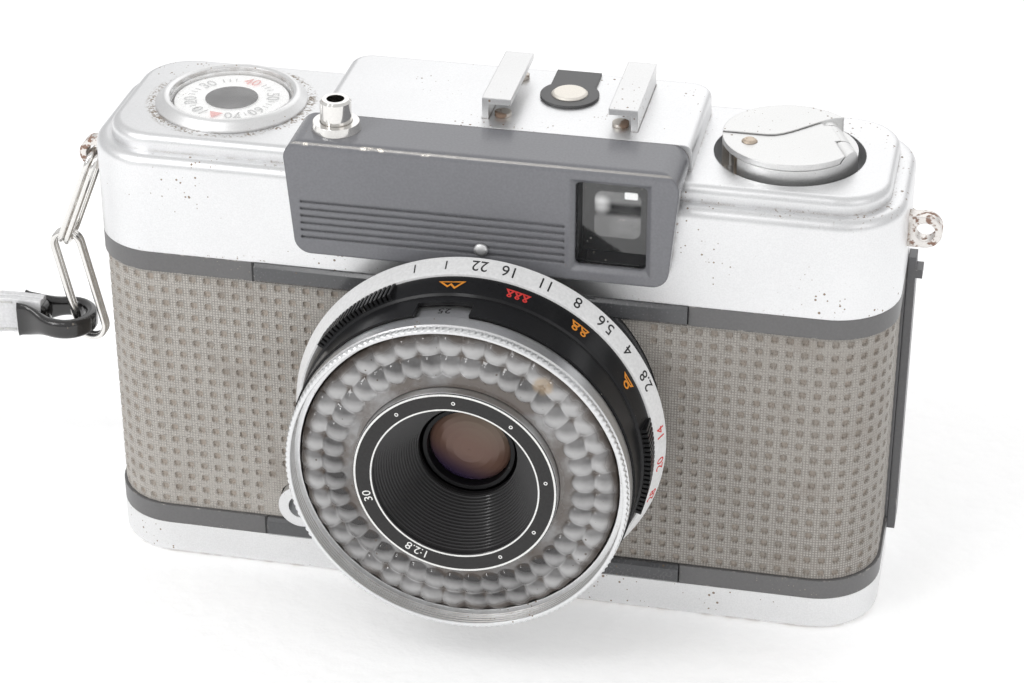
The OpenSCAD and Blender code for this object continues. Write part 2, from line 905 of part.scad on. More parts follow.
module sync_socket() {
  color("silver")
    translate([lens_x - 26, front_y, sync_z])
      rotate([90, 0, 0])
        difference() {
          union() {
            translate([0, 0, -trim_t + 0.02])
              cylinder(r = sync_r, h = trim_t + 1.4);
            translate([0, 0, -5])
              cylinder(r = sync_r - 0.7, h = 5);
          }
          translate([0, 0, -3.5])
            cylinder(r = 1.75, h = 9);
        }
}

module tripod_bush() {
  color("silver")
    difference() {
      union() {
        cylinder(r = 6, h = cover_t);
        cylinder(r = 5, h = floor_z + 5);
      }
      translate([0, 0, -1])
        cylinder(r = tripod_r, h = floor_z + 5.2);
    }
}

// Fixed shutter housing with the barrel the three rings turn on
module shutter_case() {
  color("dimgray")
    on_lens() {
      difference() {
        union() {
          translate([0, 0, -9])
            cylinder(r = tube_r, h = 10.5);
          translate([0, 0, 0.65])
            cylinder(r = 21.4, h = ap_s - 0.75);
          translate([0, 0, 1])
            cylinder(r = barrel_r, h = cell_s - 1);
        }
        // room for the lens cell and the blades
        translate([0, 0, 3])
          cylinder(r = 12.5, h = 30);
        translate([0, 0, cell_s - 1.2])
          cylinder(r = barrel_r - 0.9, h = 30);
        translate([0, 0, blade_s + 0.9])
          cylinder(r = 6.4, h = 30);
        translate([0, 0, -20])
          cylinder(r = 5, h = 40);
        translate([0, 0, blade_s - 0.5])
          cylinder(r = 18, h = 1.4);
      }
      // pivots of the shutter blades
      for (s = [-1, 1])
        translate([0, s*12, blade_s - 0.5])
          cylinder(r = 0.8, h = 1.4);
    }
}

module aperture_ring() {
  b = barrel_r + run;
  color("silver")
    on_lens()
      translate([0, 0, ap_s])
        rotate_extrude($fn = 128)
          polygon([[b, 0], [aperture_r - 0.3, 0], [aperture_r, 0.3], [aperture_r, ap_l - 1.6],
            [focus_r + 0.02, ap_l], [b, ap_l]]);
}

module focus_ring() {
  b = barrel_r + run;
  grip_n = 9;
  color("black")
    on_lens()
      translate([0, 0, fo_s]) {
        rotate_extrude($fn = 128)
          polygon([[b, 0], [focus_r, 0], [focus_r - 0.55, fo_l - 0.3], [focus_r - 0.85, fo_l], [b, fo_l]]);
        // three finger grips
        for (a = [131, 251, 358], i = [-grip_n:grip_n])
          rotate(a + i*1.7)
            translate([focus_r - 1.4, -0.2, 0.05])
              cube([1.7, 0.4, fo_l - 0.6]);
      }
}

module index_sleeve() {
  r_out = speed_r + 0.3;
  color("black")
    on_lens()
      translate([0, 0, sl_s])
        difference() {
          union() {
            tube(r_out, r_out - 0.55, sl_l);
            tube(r_out - 0.1, barrel_r + 0.02, 0.8);
          }
          // window over the film speed numbers
          rotate(96)
            translate([20, -3.6, 1.3])
              cube([5, 7.2, sl_l]);
        }
}

module film_speed_ring() {
  r_in = barrel_r + run;
  l = lens_reach - sp_s;
  color("silver")
    on_lens()
      translate([0, 0, sp_s])
        difference() {
          union() {
            cylinder(r = speed_r, h = l - 0.4);
            translate([0, 0, l - 0.4])
              cylinder(r1 = speed_r, r2 = speed_r - 0.25, h = 0.4);
            translate([0, 0, -sl_l + 0.9])
              cylinder(r = speed_r - 0.35, h = sl_l);
          }
          translate([0, 0, -10])
            cylinder(r = r_in, h = 30);
          translate([0, 0, l - 2.2])
            cylinder(r = filter_r, h = 5);
        }
}

module light_cell() {
  color("darkslategray")
    on_lens()
      translate([0, 0, cell_s - 1.15])
        tube(barrel_r - 1, name_r + 0.2, 1);
}

module cell_glass() {
  r1 = barrel_r - 0.15;
  r0 = name_r + 0.1;
  color("lightcyan")
    on_lens()
      rotate_extrude($fn = 128)
        polygon([[r0, cell_s + 0.05], [r1, cell_s + 0.05], [r1, lens_reach - 2], [r1 - 0.4, lens_reach - 1.8],
          [r0, lens_reach - 0.9]]);
}

module lens_cone() {
  e = element_r + 1;
  color("black")
    on_lens()
      rotate_extrude()
        polygon([[12.4, 3], [12.4, cell_s - 1.15], [name_r, cell_s - 1.15], [name_r, lens_reach + 0.2],
          [11, lens_reach + 0.2], [10.8, lens_reach], [e, cone_s], [e, cone_s - 0.7], [11.4, cone_s - 0.7],
          [11.4, 3]]);
}

module lens_cell() {
  e = element_r + 0.6;
  color("black")
    on_lens()
      difference() {
        union() {
          translate([0, 0, -2.8])
            cylinder(r = e - 0.05, h = cone_s + 2.4);
          translate([0, 0, 4.2])
            cylinder(r = 11.3, h = 3);
        }
        translate([0, 0, -9])
          cylinder(r = element_r - 0.9, h = 40);
        translate([0, 0, cone_s - 4])
          cylinder(r = element_r, h = 10);
        translate([0, 0, -4])
          cylinder(r = element_r - 0.3, h = 3.4);
        // pins that the focus cam works on are blind seats here
        for (a = [0, 180])
          rotate(a)
            translate([9.3, 0, 3])
              cylinder(r = 0.7, h = 6);
      }
}

module front_element() {
  r = element_r - 0.02;
  color("lightsteelblue")
    on_lens()
      translate([0, 0, cone_s - 3.98])
        rotate_extrude()
          polygon(concat([[0, 0], [r, 0], [r, 2]],
            [for (i = [1:7]) [r*cos(i*11.25), 2 + 1.5*sin(i*11.25)]], [[0, 3.5]]));
}

module rear_element() {
  color("lightsteelblue")
    on_lens()
      translate([0, 0, -2.6])
        cylinder(r = element_r - 0.32, h = 1.95);
}

// One of the two shutter blades, lying over half of the opening
module blade(s, lift) {
  color("dimgray")
    on_lens()
      translate([0, 0, blade_s + lift])
        difference() {
          linear_extrude(0.2)
            union() {
              translate([0, s*12])
                circle(2);
              polygon([[s*1.7, s*12], [s*7, s*6.5], [s*6.4, -s*6], [-s*0.5, -s*6.2], [-s*0.5, s*6],
                [-s*1.7, s*12]]);
            }
          translate([0, s*12, -1])
            cylinder(r = 0.8 + run, h = 3);
        }
}

module blade_a() {
  blade(1, -0.25);
}

module blade_b() {
  blade(-1, 0.15);
}

meter_at = [-2.5, -3];

module meter() {
  color("slategray")
    translate([meter_at[0], meter_at[1], roof_z + 0.02])
      difference() {
        union() {
          cylinder(r = 6.4, h = 6);
          translate([-8.6, -2.5, 0])
            cube([17.2, 5, 1.4]);
        }
        translate([0, 0, 5])
          cylinder(r = 5.4, h = 4);
        translate([0, 0, 2])
          cylinder(r = 0.8 + run, h = 9);
      }
}

module meter_needle() {
  color("tomato")
    translate([meter_at[0], meter_at[1], roof_z + 5.3]) {
      cylinder(r = 1.6, h = 1.4);
      translate([0, 0, -2.4])
        cylinder(r = 0.8, h = 3);
      translate([-0.3, 0, 0.9])
        cube([0.6, 10.4, 0.3]);
    }
}

// Spur gear, tooth tips at r + 0.4
module gear(r, n, h, turn) {
  p = 360/n;
  rotate(turn)
    linear_extrude(h)
      polygon([for (i = [0:n - 1], q = [[-0.34, -0.55], [-0.1, 0.4], [0.1, 0.4], [0.34, -0.55]])
        (r + q[1])*[cos((i + q[0]*0.75)*p), sin((i + q[0]*0.75)*p)]]);
}

module thumbwheel() {
  color("black")
    translate([take_x, take_y, 0])
      difference() {
        union() {
          translate([0, 0, gear_z])
            gear(gear_r, gear_n, 1, 0);
          translate([0, 0, gear_z])
            cylinder(r = 6, h = wheel_z - gear_z + 1);
          translate([0, 0, wheel_z])
            cylinder(r = wheel_r, h = wheel_h);
        }
        translate([0, 0, gear_z - 1])
          cylinder(r = 1.52, h = 20);
      }
}

module take_up_spool() {
  z0 = floor_z + room_rise + 0.3;
  color("dimgray")
    translate([take_x, take_y, 0])
      difference() {
        union() {
          translate([0, 0, z0])
            cylinder(r = spool_r, h = roof_z - 1.5 - z0);
          for (z = [z0, roof_z - 2.5])
            translate([0, 0, z])
              cylinder(r = flange_r, h = 1);
          translate([0, 0, roof_z - 2])
            cylinder(r = 1.5, h = wheel_z + wheel_h + 0.2 - roof_z + 2);
          translate([0, 0, wheel_z + wheel_h])
            cylinder(r = 1.0, h = 1.4);
          translate([0, 0, floor_z + room_rise - 1.3])
            cylinder(r = 1.2, h = 3);
        }
        translate([-spool_r - 1, -0.5, lens_z - 14])
          cube([2*spool_r + 2, 1, 28]);
      }
}

module sprocket() {
  z0 = floor_z + room_rise + 1.3;
  color("silver")
    translate([sprocket_x, take_y, 0])
      union() {
        translate([0, 0, z0])
          cylinder(r = sprocket_r, h = roof_z - 2.5 - z0);
        for (z = [lens_z - hole_row, lens_z + hole_row])
          translate([0, 0, z]) {
            cylinder(r = sprocket_r + 0.7, h = 3, center = true);
            for (i = [0:7])
              rotate(i*45)
                translate([sprocket_r - 0.2, -0.5, -0.6])
                  cube([1.9, 1, 1.2]);
          }
        translate([0, 0, roof_z - 3])
          cylinder(r = 1.5, h = 4.2);
        translate([0, 0, gear_z])
          gear(gear_r, gear_n, 1, 180/gear_n);
        translate([0, 0, floor_z + room_rise - 0.3])
          cylinder(r = 1.2, h = 3);
      }
}

module rewind_ring() {
  color("silver")
    translate([rewind_x, rewind_y, roof_z - 0.8])
      tube(4.2 - run, 2.5 + run, well_z + 1.2 - roof_z);
}

// Height of the curved edge between the cap and the lever
function s_edge(x) = let (t = max(0, min(1, (x + 3)/9.5))) -0.6 + 6.9*t*t*(3 - 2*t);

// Half of the knob face in front of the curved edge, moved by d
module front_half(d) {
  polygon(concat([[-12, -12], [12, -12], [12, s_edge(12) + d]],
    [for (i = [12:-1:-12]) [i, s_edge(i) + d]]));
}

// Places things on the crank's pin, which lies along their own Z, measured from the knob's middle
module at_pin() {
  translate([pin_at[0], pin_at[1], fold_z])
    rotate(pin_turn)
      rotate([0, 90, 0])
        children();
}

module rewind_knob() {
  h = lever_z - knob_z;
  color("silver")
    translate([rewind_x, rewind_y, 0])
      difference() {
        union() {
          difference() {
            translate([0, 0, knob_z]) {
              cylinder(r = knob_r, h = 1.2);
              tube(knob_r, knob_r - 0.9, h - 0.05);
              // land that holds the crank's pin
              linear_extrude(h - 0.05)
                intersection() {
                  circle(knob_r);
                  translate(pin_at)
                    rotate(pin_turn)
                      translate([-12, -12])
                        square([24, 13.5]);
                }
            }
            // the rim behind the pin is lower, for the end of the raised lever
            translate([pin_at[0], pin_at[1], fold_z + 0.1])
              rotate(pin_turn)
                translate([-12, -12, 0])
                  cube([24, 12, 9]);
          }
          translate([0, 0, knob_z])
            linear_extrude(h + cap_t)
              difference() {
                circle(knob_r);
                front_half(0);
              }
          // outer knuckles
          intersection() {
            translate([0, 0, knob_z])
              cylinder(r = knob_r, h = h + lever_t);
            at_pin()
              cylinder(r = hinge_bead_r, h = 24, center = true);
          }
        }
        translate([0, 0, knob_z - 1])
          cylinder(r = 2.45, h = 1.9);
        // opening in the rim for the finger knob
        rotate(207)
          translate([3.2, -2.9, knob_z + 1.2])
            cube([9, 5.8, h - 1.2]);
        at_pin() {
          cylinder(r = crank_pin_r + run, h = hinge_bead_w + 4.4, center = true);
          cylinder(r = hinge_bead_r + 0.2, h = hinge_bead_w + 0.4, center = true);
        }
      }
}

module rewind_fork() {
  z0 = roof_z - 1 - rewind_lift;
  color("silver")
    translate([rewind_x, rewind_y, 0])
      difference() {
        union() {
          translate([0, 0, z0])
            cylinder(r = 2.5, h = knob_z - 0.02 - z0);
          translate([0, 0, knob_z - 0.1])
            cylinder(r = 2.43, h = 0.98);
          translate([0, 0, roof_z - 1.65])
            cylinder(r = 3.2, h = 0.8);
        }
        translate([-0.9, -5, z0 - 1])
          cube([1.8, 10, 4.5]);
      }
}

module rewind_crank() {
  color("gainsboro")
    translate([rewind_x, rewind_y, 0])
      difference() {
        union() {
          difference() {
            translate([0, 0, lever_z])
              linear_extrude(lever_t)
                intersection() {
                  circle(knob_r);
                  front_half(-0.2);
                  translate(pin_at)
                    rotate(pin_turn)
                      translate([-12, 0])
                        square([24, 40]);
                }
            // clear of the knob's knuckles
            at_pin()
              for (t = [-1, 1])
                translate([0, 0, t*(hinge_bead_w/2 + 6)])
                  cylinder(r = hinge_bead_r + 0.2, h = 12, center = true);
          }
          at_pin() {
            cylinder(r = hinge_bead_r, h = hinge_bead_w, center = true);
            cylinder(r = crank_pin_r, h = hinge_bead_w + 2.4, center = true);
          }
        }
        translate([finger_at[0], finger_at[1], lever_z - 1])
          cylinder(r = 0.62, h = 4);
      }
}

module crank_knob() {
  color("silver")
    translate([rewind_x + finger_at[0], rewind_y + finger_at[1], 0]) {
      translate([0, 0, knob_z + 1.5])
        cylinder(r = 1.9, h = lever_z - knob_z - 1.55);
      translate([0, 0, lever_z - 1])
        cylinder(r = 0.6, h = lever_t + 1.1);
      translate([0, 0, lever_z + lever_t + 0.02])
        cylinder(r1 = 1.05, r2 = 0.7, h = 0.3);
    }
}

module back_door() {
  d = 2*door_back;
  color("gray")
    difference() {
      union() {
        translate([0, 0, door_z0])
          linear_extrude(door_z1 - door_z0)
            intersection() {
              difference() {
                plan(body_w, d, body_r - 0.8);
                plan(body_w - 2*door_t, d - 2*door_t, body_r - 0.8 - door_t);
              }
              translate([-100, split_y + 0.2])
                square([200, 40]);
            }
        for (z = [door_z0 + 0.5, knuckle_z + knuckle_h + 0.3])
          translate([hinge_x, hinge_y, z])
            cylinder(r = hinge_r, h = (z < knuckle_z ? knuckle_z - 0.4 : z_cover - 0.6) - z);
      }
      translate([hinge_x, hinge_y, knuckle_z - 0.2])
        cylinder(r = hinge_r + 0.35, h = knuckle_h + 0.4);
      translate([hinge_x, hinge_y, 0])
        cylinder(r = 0.7 + run, h = 60);
      // slots for the studs of the latch
      for (z = [z_skin + 8, z_skin + skin_h - 8])
        translate([end_x - 3, split_y + 2.1, z - latch_travel - 1.2])
          cube([6, 2, latch_travel + 2.4]);
    }
}

module door_skin() {
  color("rosybrown")
    translate([-end_x + body_r, door_back + 0.02, z_skin])
      cube([body_w - 2*body_r, skin_t - 0.02, skin_h]);
}

module pressure_plate() {
  color("darkslategray") {
    translate([lens_x - plate_w/2, rail_y + 0.35, lens_z - plate_h/2 - 0.25])
      cube([plate_w, 1, plate_h]);
    for (s = [-1, 1])
      translate([lens_x + s*plate_w/4 - 2, rail_y + 1.3, lens_z - plate_h/2 + 3.75])
        cube([4, door_back - door_t - rail_y - 1.32, plate_h - 7.5]);
  }
}

module hinge_pin() {
  color("silver")
    translate([hinge_x, hinge_y, door_z0 + 0.5])
      cylinder(r = 0.7, h = z_cover - 1.1 - door_z0);
}

module back_latch() {
  z0 = door_z0 + latch_travel - 2.4;
  z1 = door_z1 + 0.6;
  color("dimgray") {
    translate([end_x + 0.06, split_y + 0.5, 0])
      rotate([90, 0, 90])
        linear_extrude(1.1)
          polygon([[0, z0], [5, z0], [5, z1 - 5], [2.6, z1], [0, z1]]);
    translate([end_x + 0.06, split_y + 0.5, z1 - 3])
      cube([2, 2.6, 1.2]);
    for (z = [z_skin + 8, z_skin + skin_h - 8])
      translate([end_x - door_t - 0.9, split_y + 2.2, z - 1])
        cube([door_t + 1.5, 1.8, 2]);
    for (z = [z_skin + 8, z_skin + skin_h - 8])
      translate([end_x - door_t - 0.9, split_y + 1.4, z - 2.2])
        cube([0.8, 2.3, 4.4]);
  }
}

module rewind_button() {
  color("silver")
    translate([sprocket_x, take_y, 0.3])
      cylinder(r = 2.2, h = 2.6);
}

// Oval wire link of two strands in the plane of Y and Z, hanging down from its top
module link(l) {
  s = l - 2*link_w;
  for (o = [-1, 1])
    translate([o*(wire_r + 0.02), 0, 0]) {
      for (t = [-1, 1])
        translate([0, t*link_w, -link_w - s])
          cylinder(r = wire_r, h = s, $fn = 24);
      for (t = [0, 1])
        translate([0, 0, -link_w - t*s])
          rotate([90, 0, 90])
            rotate([0, 0, t*180])
              rotate_extrude(angle = 180, $fn = 24)
                translate([link_w, 0])
                  circle(wire_r);
    }
}

module chain_link_upper() {
  color("silver")
    translate([-lug_x, chain_y, lug_z])
      rotate([0, tilt_a, 0])
        link(link_a);
}

module chain_link_lower() {
  color("silver")
    translate([b_top[0], chain_y, b_top[1]])
      rotate([0, tilt_b, 0])
        rotate([0, 0, 90])
          link(link_b);
}

// Drop shape seen from above: round at the right, closing to the left
function drop(x0, r0, x1, r1) = concat(arc([x0 - r0, 0], r0, -95, 95, 16), arc([x1 + r1, 0], r1, 95, 265, 8));

module strap_loop() {
  color("black")
    translate([0, chain_y, strap_z])
      difference() {
        union() {
          linear_extrude(loop_h, center = true)
            difference() {
              polygon(drop(loop_x, loop_r, loop_tail + 1.2, clamp_w/2));
              polygon(drop(loop_x - loop_t, loop_r - loop_t, loop_x - 7, 0.6));
            }
          translate([loop_tail, -clamp_w/2, -clamp_h/2])
            cube([3.8, clamp_w, clamp_h]);
        }
        translate([loop_tail - 1, -strap_t - 0.05, -clamp_h])
          cube([4.4, 2*strap_t + 0.1, 2*clamp_h]);
      }
}

// Two layers leave the clamp, reach the floor and close in a round end
strap_x0 = loop_tail + 3.2;
strap_len = 96;
strap_open = 11;
function ease(t, t0, t1) = let (u = max(0, min(1, (t - t0)/(t1 - t0)))) u*u*(3 - 2*u);
function drop_to_floor(t) = strap_z + (strap_w/2 + 0.2 - strap_z)*ease(t, 0.05, 0.55);
function strap_side(t) = strap_t/2 + strap_open*ease(t, 0.04, 0.6);
function strap_path() = concat(
  [for (i = [0:1:13]) let (t = i/16) [strap_x0 - strap_len*t, -strap_side(t), drop_to_floor(t)]],
  [for (a = [280:-20:80]) [strap_x0 - strap_len*13/16 - 7 + (strap_t/2 + strap_open)*cos(a)*1.0,
    (strap_t/2 + strap_open)*sin(a), strap_w/2 + 0.2]],
  [for (i = [13:-1:0]) let (t = i/16) [strap_x0 - strap_len*t, strap_side(t), drop_to_floor(t)]]);

module wrist_strap() {
  p = strap_path();
  n = len(p);
  function dir(i) = let (d = p[min(n - 1, i + 1)] - p[max(0, i - 1)]) d/norm(d);
  function side(i) = let (d = dir(i), h = [-d[1], d[0], 0]) h/norm(h);
  function up(i) = cross(dir(i), side(i));
  pts = [for (i = [0:n - 1], c = [[-1, -1], [1, -1], [1, 1], [-1, 1]])
    p[i] + c[0]*(strap_t/2 - 0.02)*side(i) + c[1]*strap_w/2*up(i)];
  faces = concat([[0, 1, 2, 3]], [[4*n - 1, 4*n - 2, 4*n - 3, 4*n - 4]],
    [for (i = [0:n - 2], k = [0:3]) [4*i + 4 + k, 4*i + 4 + (k + 1)%4, 4*i + (k + 1)%4, 4*i + k]]);
  color("whitesmoke")
    translate([0, chain_y, 0])
      polyhedron(pts, faces);
}

chassis();
top_cover();
base_cover();
trim_bands();
escutcheon();
skin_left();
skin_right();
faceplate();
index_bead();
finder_window();
finder_housing();
finder_lens();
eyepiece_lens();
release_collar();
release_button();
counter_bezel();
counter_window();
counter_dial();
counter_bridge();
shoe_rails();
shoe_insulator();
shoe_contact();
screws();
strap_lugs();
sync_socket();
tripod_bush();
shutter_case();
aperture_ring();
focus_ring();
index_sleeve();
film_speed_ring();
light_cell();
cell_glass();
lens_cone();
lens_cell();
front_element();
rear_element();
blade_a();
blade_b();
meter();
meter_needle();
thumbwheel();
take_up_spool();
sprocket();
rewind_ring();
rewind_knob();
rewind_fork();
rewind_crank();
crank_knob();
back_door();
door_skin();
pressure_plate();
hinge_pin();
back_latch();
rewind_button();
chain_link_upper();
chain_link_lower();
strap_loop();
wrist_strap();
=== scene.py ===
"""Looks of a half frame camera: its finishes, leatherette, lens front, printed marks and wrist strap.

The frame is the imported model's: +X towards the rewind crank, +Y towards the hinged back, +Z up.
Sizes in the classes are millimetres, and meshes are written in metres.
"""

import logging
import math
from dataclasses import dataclass
from enum import Enum
from typing import Any, Callable, Dict, Iterable, List, Mapping, Optional, Sequence, Tuple, Union

import bmesh
import bpy
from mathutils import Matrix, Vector


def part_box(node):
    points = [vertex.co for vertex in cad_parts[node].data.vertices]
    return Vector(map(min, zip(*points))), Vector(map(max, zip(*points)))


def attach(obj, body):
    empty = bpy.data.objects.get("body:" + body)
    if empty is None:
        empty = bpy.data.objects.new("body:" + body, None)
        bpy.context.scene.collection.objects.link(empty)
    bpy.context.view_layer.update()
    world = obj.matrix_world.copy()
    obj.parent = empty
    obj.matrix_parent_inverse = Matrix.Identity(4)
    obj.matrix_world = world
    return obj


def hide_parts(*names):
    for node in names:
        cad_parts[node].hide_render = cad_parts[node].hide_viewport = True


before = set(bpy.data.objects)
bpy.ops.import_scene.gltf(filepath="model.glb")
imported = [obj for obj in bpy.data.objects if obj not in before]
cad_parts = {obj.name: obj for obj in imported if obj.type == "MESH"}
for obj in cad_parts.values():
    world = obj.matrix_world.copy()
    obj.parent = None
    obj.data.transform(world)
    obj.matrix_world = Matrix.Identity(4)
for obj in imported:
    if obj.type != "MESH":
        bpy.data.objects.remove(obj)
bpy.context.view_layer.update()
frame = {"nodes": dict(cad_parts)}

LOG = logging.getLogger("half_frame_camera")
MM = 0.001

Point = Tuple[float, float, float]
Flat = Tuple[float, float]
Colour = Tuple[float, float, float]
Socket = bpy.types.NodeSocket
Tree = bpy.types.NodeTree
Fed = Union[Socket, float, Sequence[float]]
Placer = Callable[[float, float, float], Point]
Wrap = Callable[[float], Tuple[Point, Point]]

UP: Point = (0.0, 0.0, 1.0)
WHITE: Colour = (1.0, 1.0, 1.0)
FULL_TURN = 360.0
EDGE_SAMPLES = 4
PRINT_ANGLE = 20.0
TURNED_ANGLE = 30.0
COVER_ANGLE = 40.0
SOFT_ANGLE = 50.0
LENS_AT: Flat = (0.8, 29.9)
FRONT_Y = -14.75
PIT_PITCH = 1.966
COUNTER_AT: Flat = (-37.2, 0.0)


class Body(Enum):
    """Moving bodies of the camera that pieces ride on."""

    CASE = "body"
    ADVANCE = "advance"
    COUNTER = "counter"
    DOOR = "door"
    APERTURE = "aperture"
    FOCUS = "focus"
    FILM_SPEED = "film_speed"
    STRAP = "strap"


class Slot(Enum):
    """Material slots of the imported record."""

    SATIN_CHROME = "satin_chrome"
    LEATHERETTE = "leatherette"
    BLACK_PAINT = "black_paint"
    BLACK_PLASTIC = "black_plastic"
    WHITE_PLASTIC = "white_plastic"
    BUBBLE_GLASS = "bubble_glass"
    VINYL = "vinyl"


class Calc(Enum):
    """Sums that a Math node does."""

    ADD = "ADD"
    LESS = "SUBTRACT"
    TIMES = "MULTIPLY"
    HIGHEST = "MAXIMUM"
    POWER = "POWER"
    FOLD = "PINGPONG"
    SIZE = "ABSOLUTE"


class VectorCalc(Enum):
    """Sums that a Vector Math node does."""

    LESS = "SUBTRACT"
    TIMES = "MULTIPLY"
    HIGHEST = "MAXIMUM"
    SIZE = "ABSOLUTE"
    DOT = "DOT_PRODUCT"
    LENGTH = "LENGTH"
    DISTANCE = "DISTANCE"

    @property
    def output(self) -> str:
        """Name of the output that holds the result."""
        return "Value" if self in (VectorCalc.DOT, VectorCalc.LENGTH, VectorCalc.DISTANCE) else "Vector"


class Effect(Enum):
    """Surface effects that several finishes share."""

    EDGE_WEAR = "edge_wear"
    SPECKS = "specks"
    GRAIN = "fine_grain"
    GRIME = "corner_grime"


class Graph:
    """A node tree with short ways to add nodes and join them."""

    def __init__(self, tree: Tree) -> None:
        """Takes the tree that nodes are added to."""
        self.tree = tree

    def add(
        self, kind: str, inputs: Optional[Mapping[Union[str, int], Fed]] = None, **settings: Any
    ) -> bpy.types.Node:
        """Adds a node.

        Args:
            kind: Blender's name of the node type.
            inputs: values or sockets for the node's inputs, by name or number.
            **settings: attributes of the node.

        Returns:
            The new node.
        """
        node = self.tree.nodes.new(kind)
        for key, value in settings.items():
            setattr(node, key, value)
        self.fill(node.inputs, inputs or {})
        return node

    def fill(self, inputs: Any, values: Mapping[Union[str, int], Fed]) -> None:
        """Feeds several inputs, by name or number."""
        for key, value in values.items():
            self.feed(inputs[key], value)

    def feed(self, socket: Socket, value: Fed) -> None:
        """Links a socket to another one, or sets its own value.

        Args:
            socket: the socket to fill.
            value: the socket that it is linked to, or its value.
        """
        if isinstance(value, Socket):
            self.tree.links.new(value, socket)
        else:
            socket.default_value = value

    def calc(self, sum_of: Calc, first: Fed, second: Fed = 0.0, clamp: bool = False) -> Socket:
        """Adds a Math node and returns its result."""
        node = self.add("ShaderNodeMath", {0: first, 1: second}, operation=sum_of.value, use_clamp=clamp)
        return node.outputs[0]

    def plus(self, first: Fed, second: Fed, clamp: bool = False) -> Socket:
        """Adds two values."""
        return self.calc(Calc.ADD, first, second, clamp)

    def less(self, first: Fed, second: Fed) -> Socket:
        """Takes the second value from the first."""
        return self.calc(Calc.LESS, first, second)

    def times(self, first: Fed, second: Fed, clamp: bool = False) -> Socket:
        """Multiplies two values."""
        return self.calc(Calc.TIMES, first, second, clamp)

    def highest(self, first: Fed, second: Fed) -> Socket:
        """Takes the higher one of two values."""
        return self.calc(Calc.HIGHEST, first, second)

    def vector(self, sum_of: VectorCalc, first: Fed, second: Optional[Fed] = None) -> Socket:
        """Adds a Vector Math node and returns its vector, or its number where the sum gives one."""
        inputs = {0: first} if second is None else {0: first, 1: second}
        return self.add("ShaderNodeVectorMath", inputs, operation=sum_of.value).outputs[sum_of.output]

    def part(self, axis: str, vector: Optional[Socket] = None) -> Socket:
        """Takes one coordinate of a vector, or else of the surface point."""
        return self.add("ShaderNodeSeparateXYZ", {0: vector or self.place()}).outputs[axis]

    def attribute(self, name: str, output: str = "Fac") -> Socket:
        """Reads a value that the mesh carries at its points."""
        return self.add("ShaderNodeAttribute", attribute_name=name).outputs[output]

    def span(self, value: Fed, low: float, high: float, to_low: float = 0.0, to_high: float = 1.0) -> Socket:
        """Maps a value smoothly from low..high to to_low..to_high and returns the result."""
        inputs = {"Value": value, "From Min": low, "From Max": high, "To Min": to_low, "To Max": to_high}
        return self.add("ShaderNodeMapRange", inputs, interpolation_type="SMOOTHSTEP").outputs["Result"]

    def blend(self, factor: Fed, first: Fed, second: Fed) -> Socket:
        """Mixes two colours.

        Args:
            factor: how much of the second colour is taken, from 0 to 1.
            first: one colour.
            second: the other colour.

        Returns:
            The mixed colour.
        """
        node = self.add("ShaderNodeMix", data_type="RGBA", clamp_factor=True)
        self.feed(node.inputs[0], factor)
        self.feed(node.inputs[6], (*first, 1.0) if isinstance(first, tuple) else first)
        self.feed(node.inputs[7], (*second, 1.0) if isinstance(second, tuple) else second)
        return node.outputs[2]

    def place(self) -> Socket:
        """Returns the surface point in the object's own metres."""
        return self.add("ShaderNodeTexCoord").outputs["Object"]

    def noise(self, scale: Fed, detail: float = 3.0, vector: Optional[Socket] = None) -> Socket:
        """Adds a noise over the surface and returns its value."""
        inputs = {"Vector": vector or self.place(), "Scale": scale, "Detail": detail}
        return self.add("ShaderNodeTexNoise", inputs).outputs[0]

    def bump(
        self, surface: Any, height: Socket, depth: float, strength: float = 1.0, normal: Optional[Socket] = None
    ) -> None:
        """Feeds a relief to a shader's Normal.

        Args:
            surface: inputs of the shader.
            height: the relief.
            depth: how deep it is, in millimetres.
            strength: how much of it shows.
            normal: the normal that it is laid on, if it isn't the mesh's own.
        """
        inputs = {"Strength": strength, "Distance": depth * MM, "Height": height}
        if normal is not None:
            inputs["Normal"] = normal
        self.feed(surface["Normal"], self.add("ShaderNodeBump", inputs).outputs[0])

    def effect(self, which: Effect, **values: float) -> Socket:
        """Places a shared effect with its own values.

        Args:
            which: the effect.
            **values: its inputs, with underscores for the blanks of their names.

        Returns:
            The effect's one output.
        """
        node = self.add("ShaderNodeGroup", node_tree=EffectShelf.tree(which))
        for key, value in values.items():
            node.inputs[key.replace("_", " ").title()].default_value = value
        return node.outputs[0]


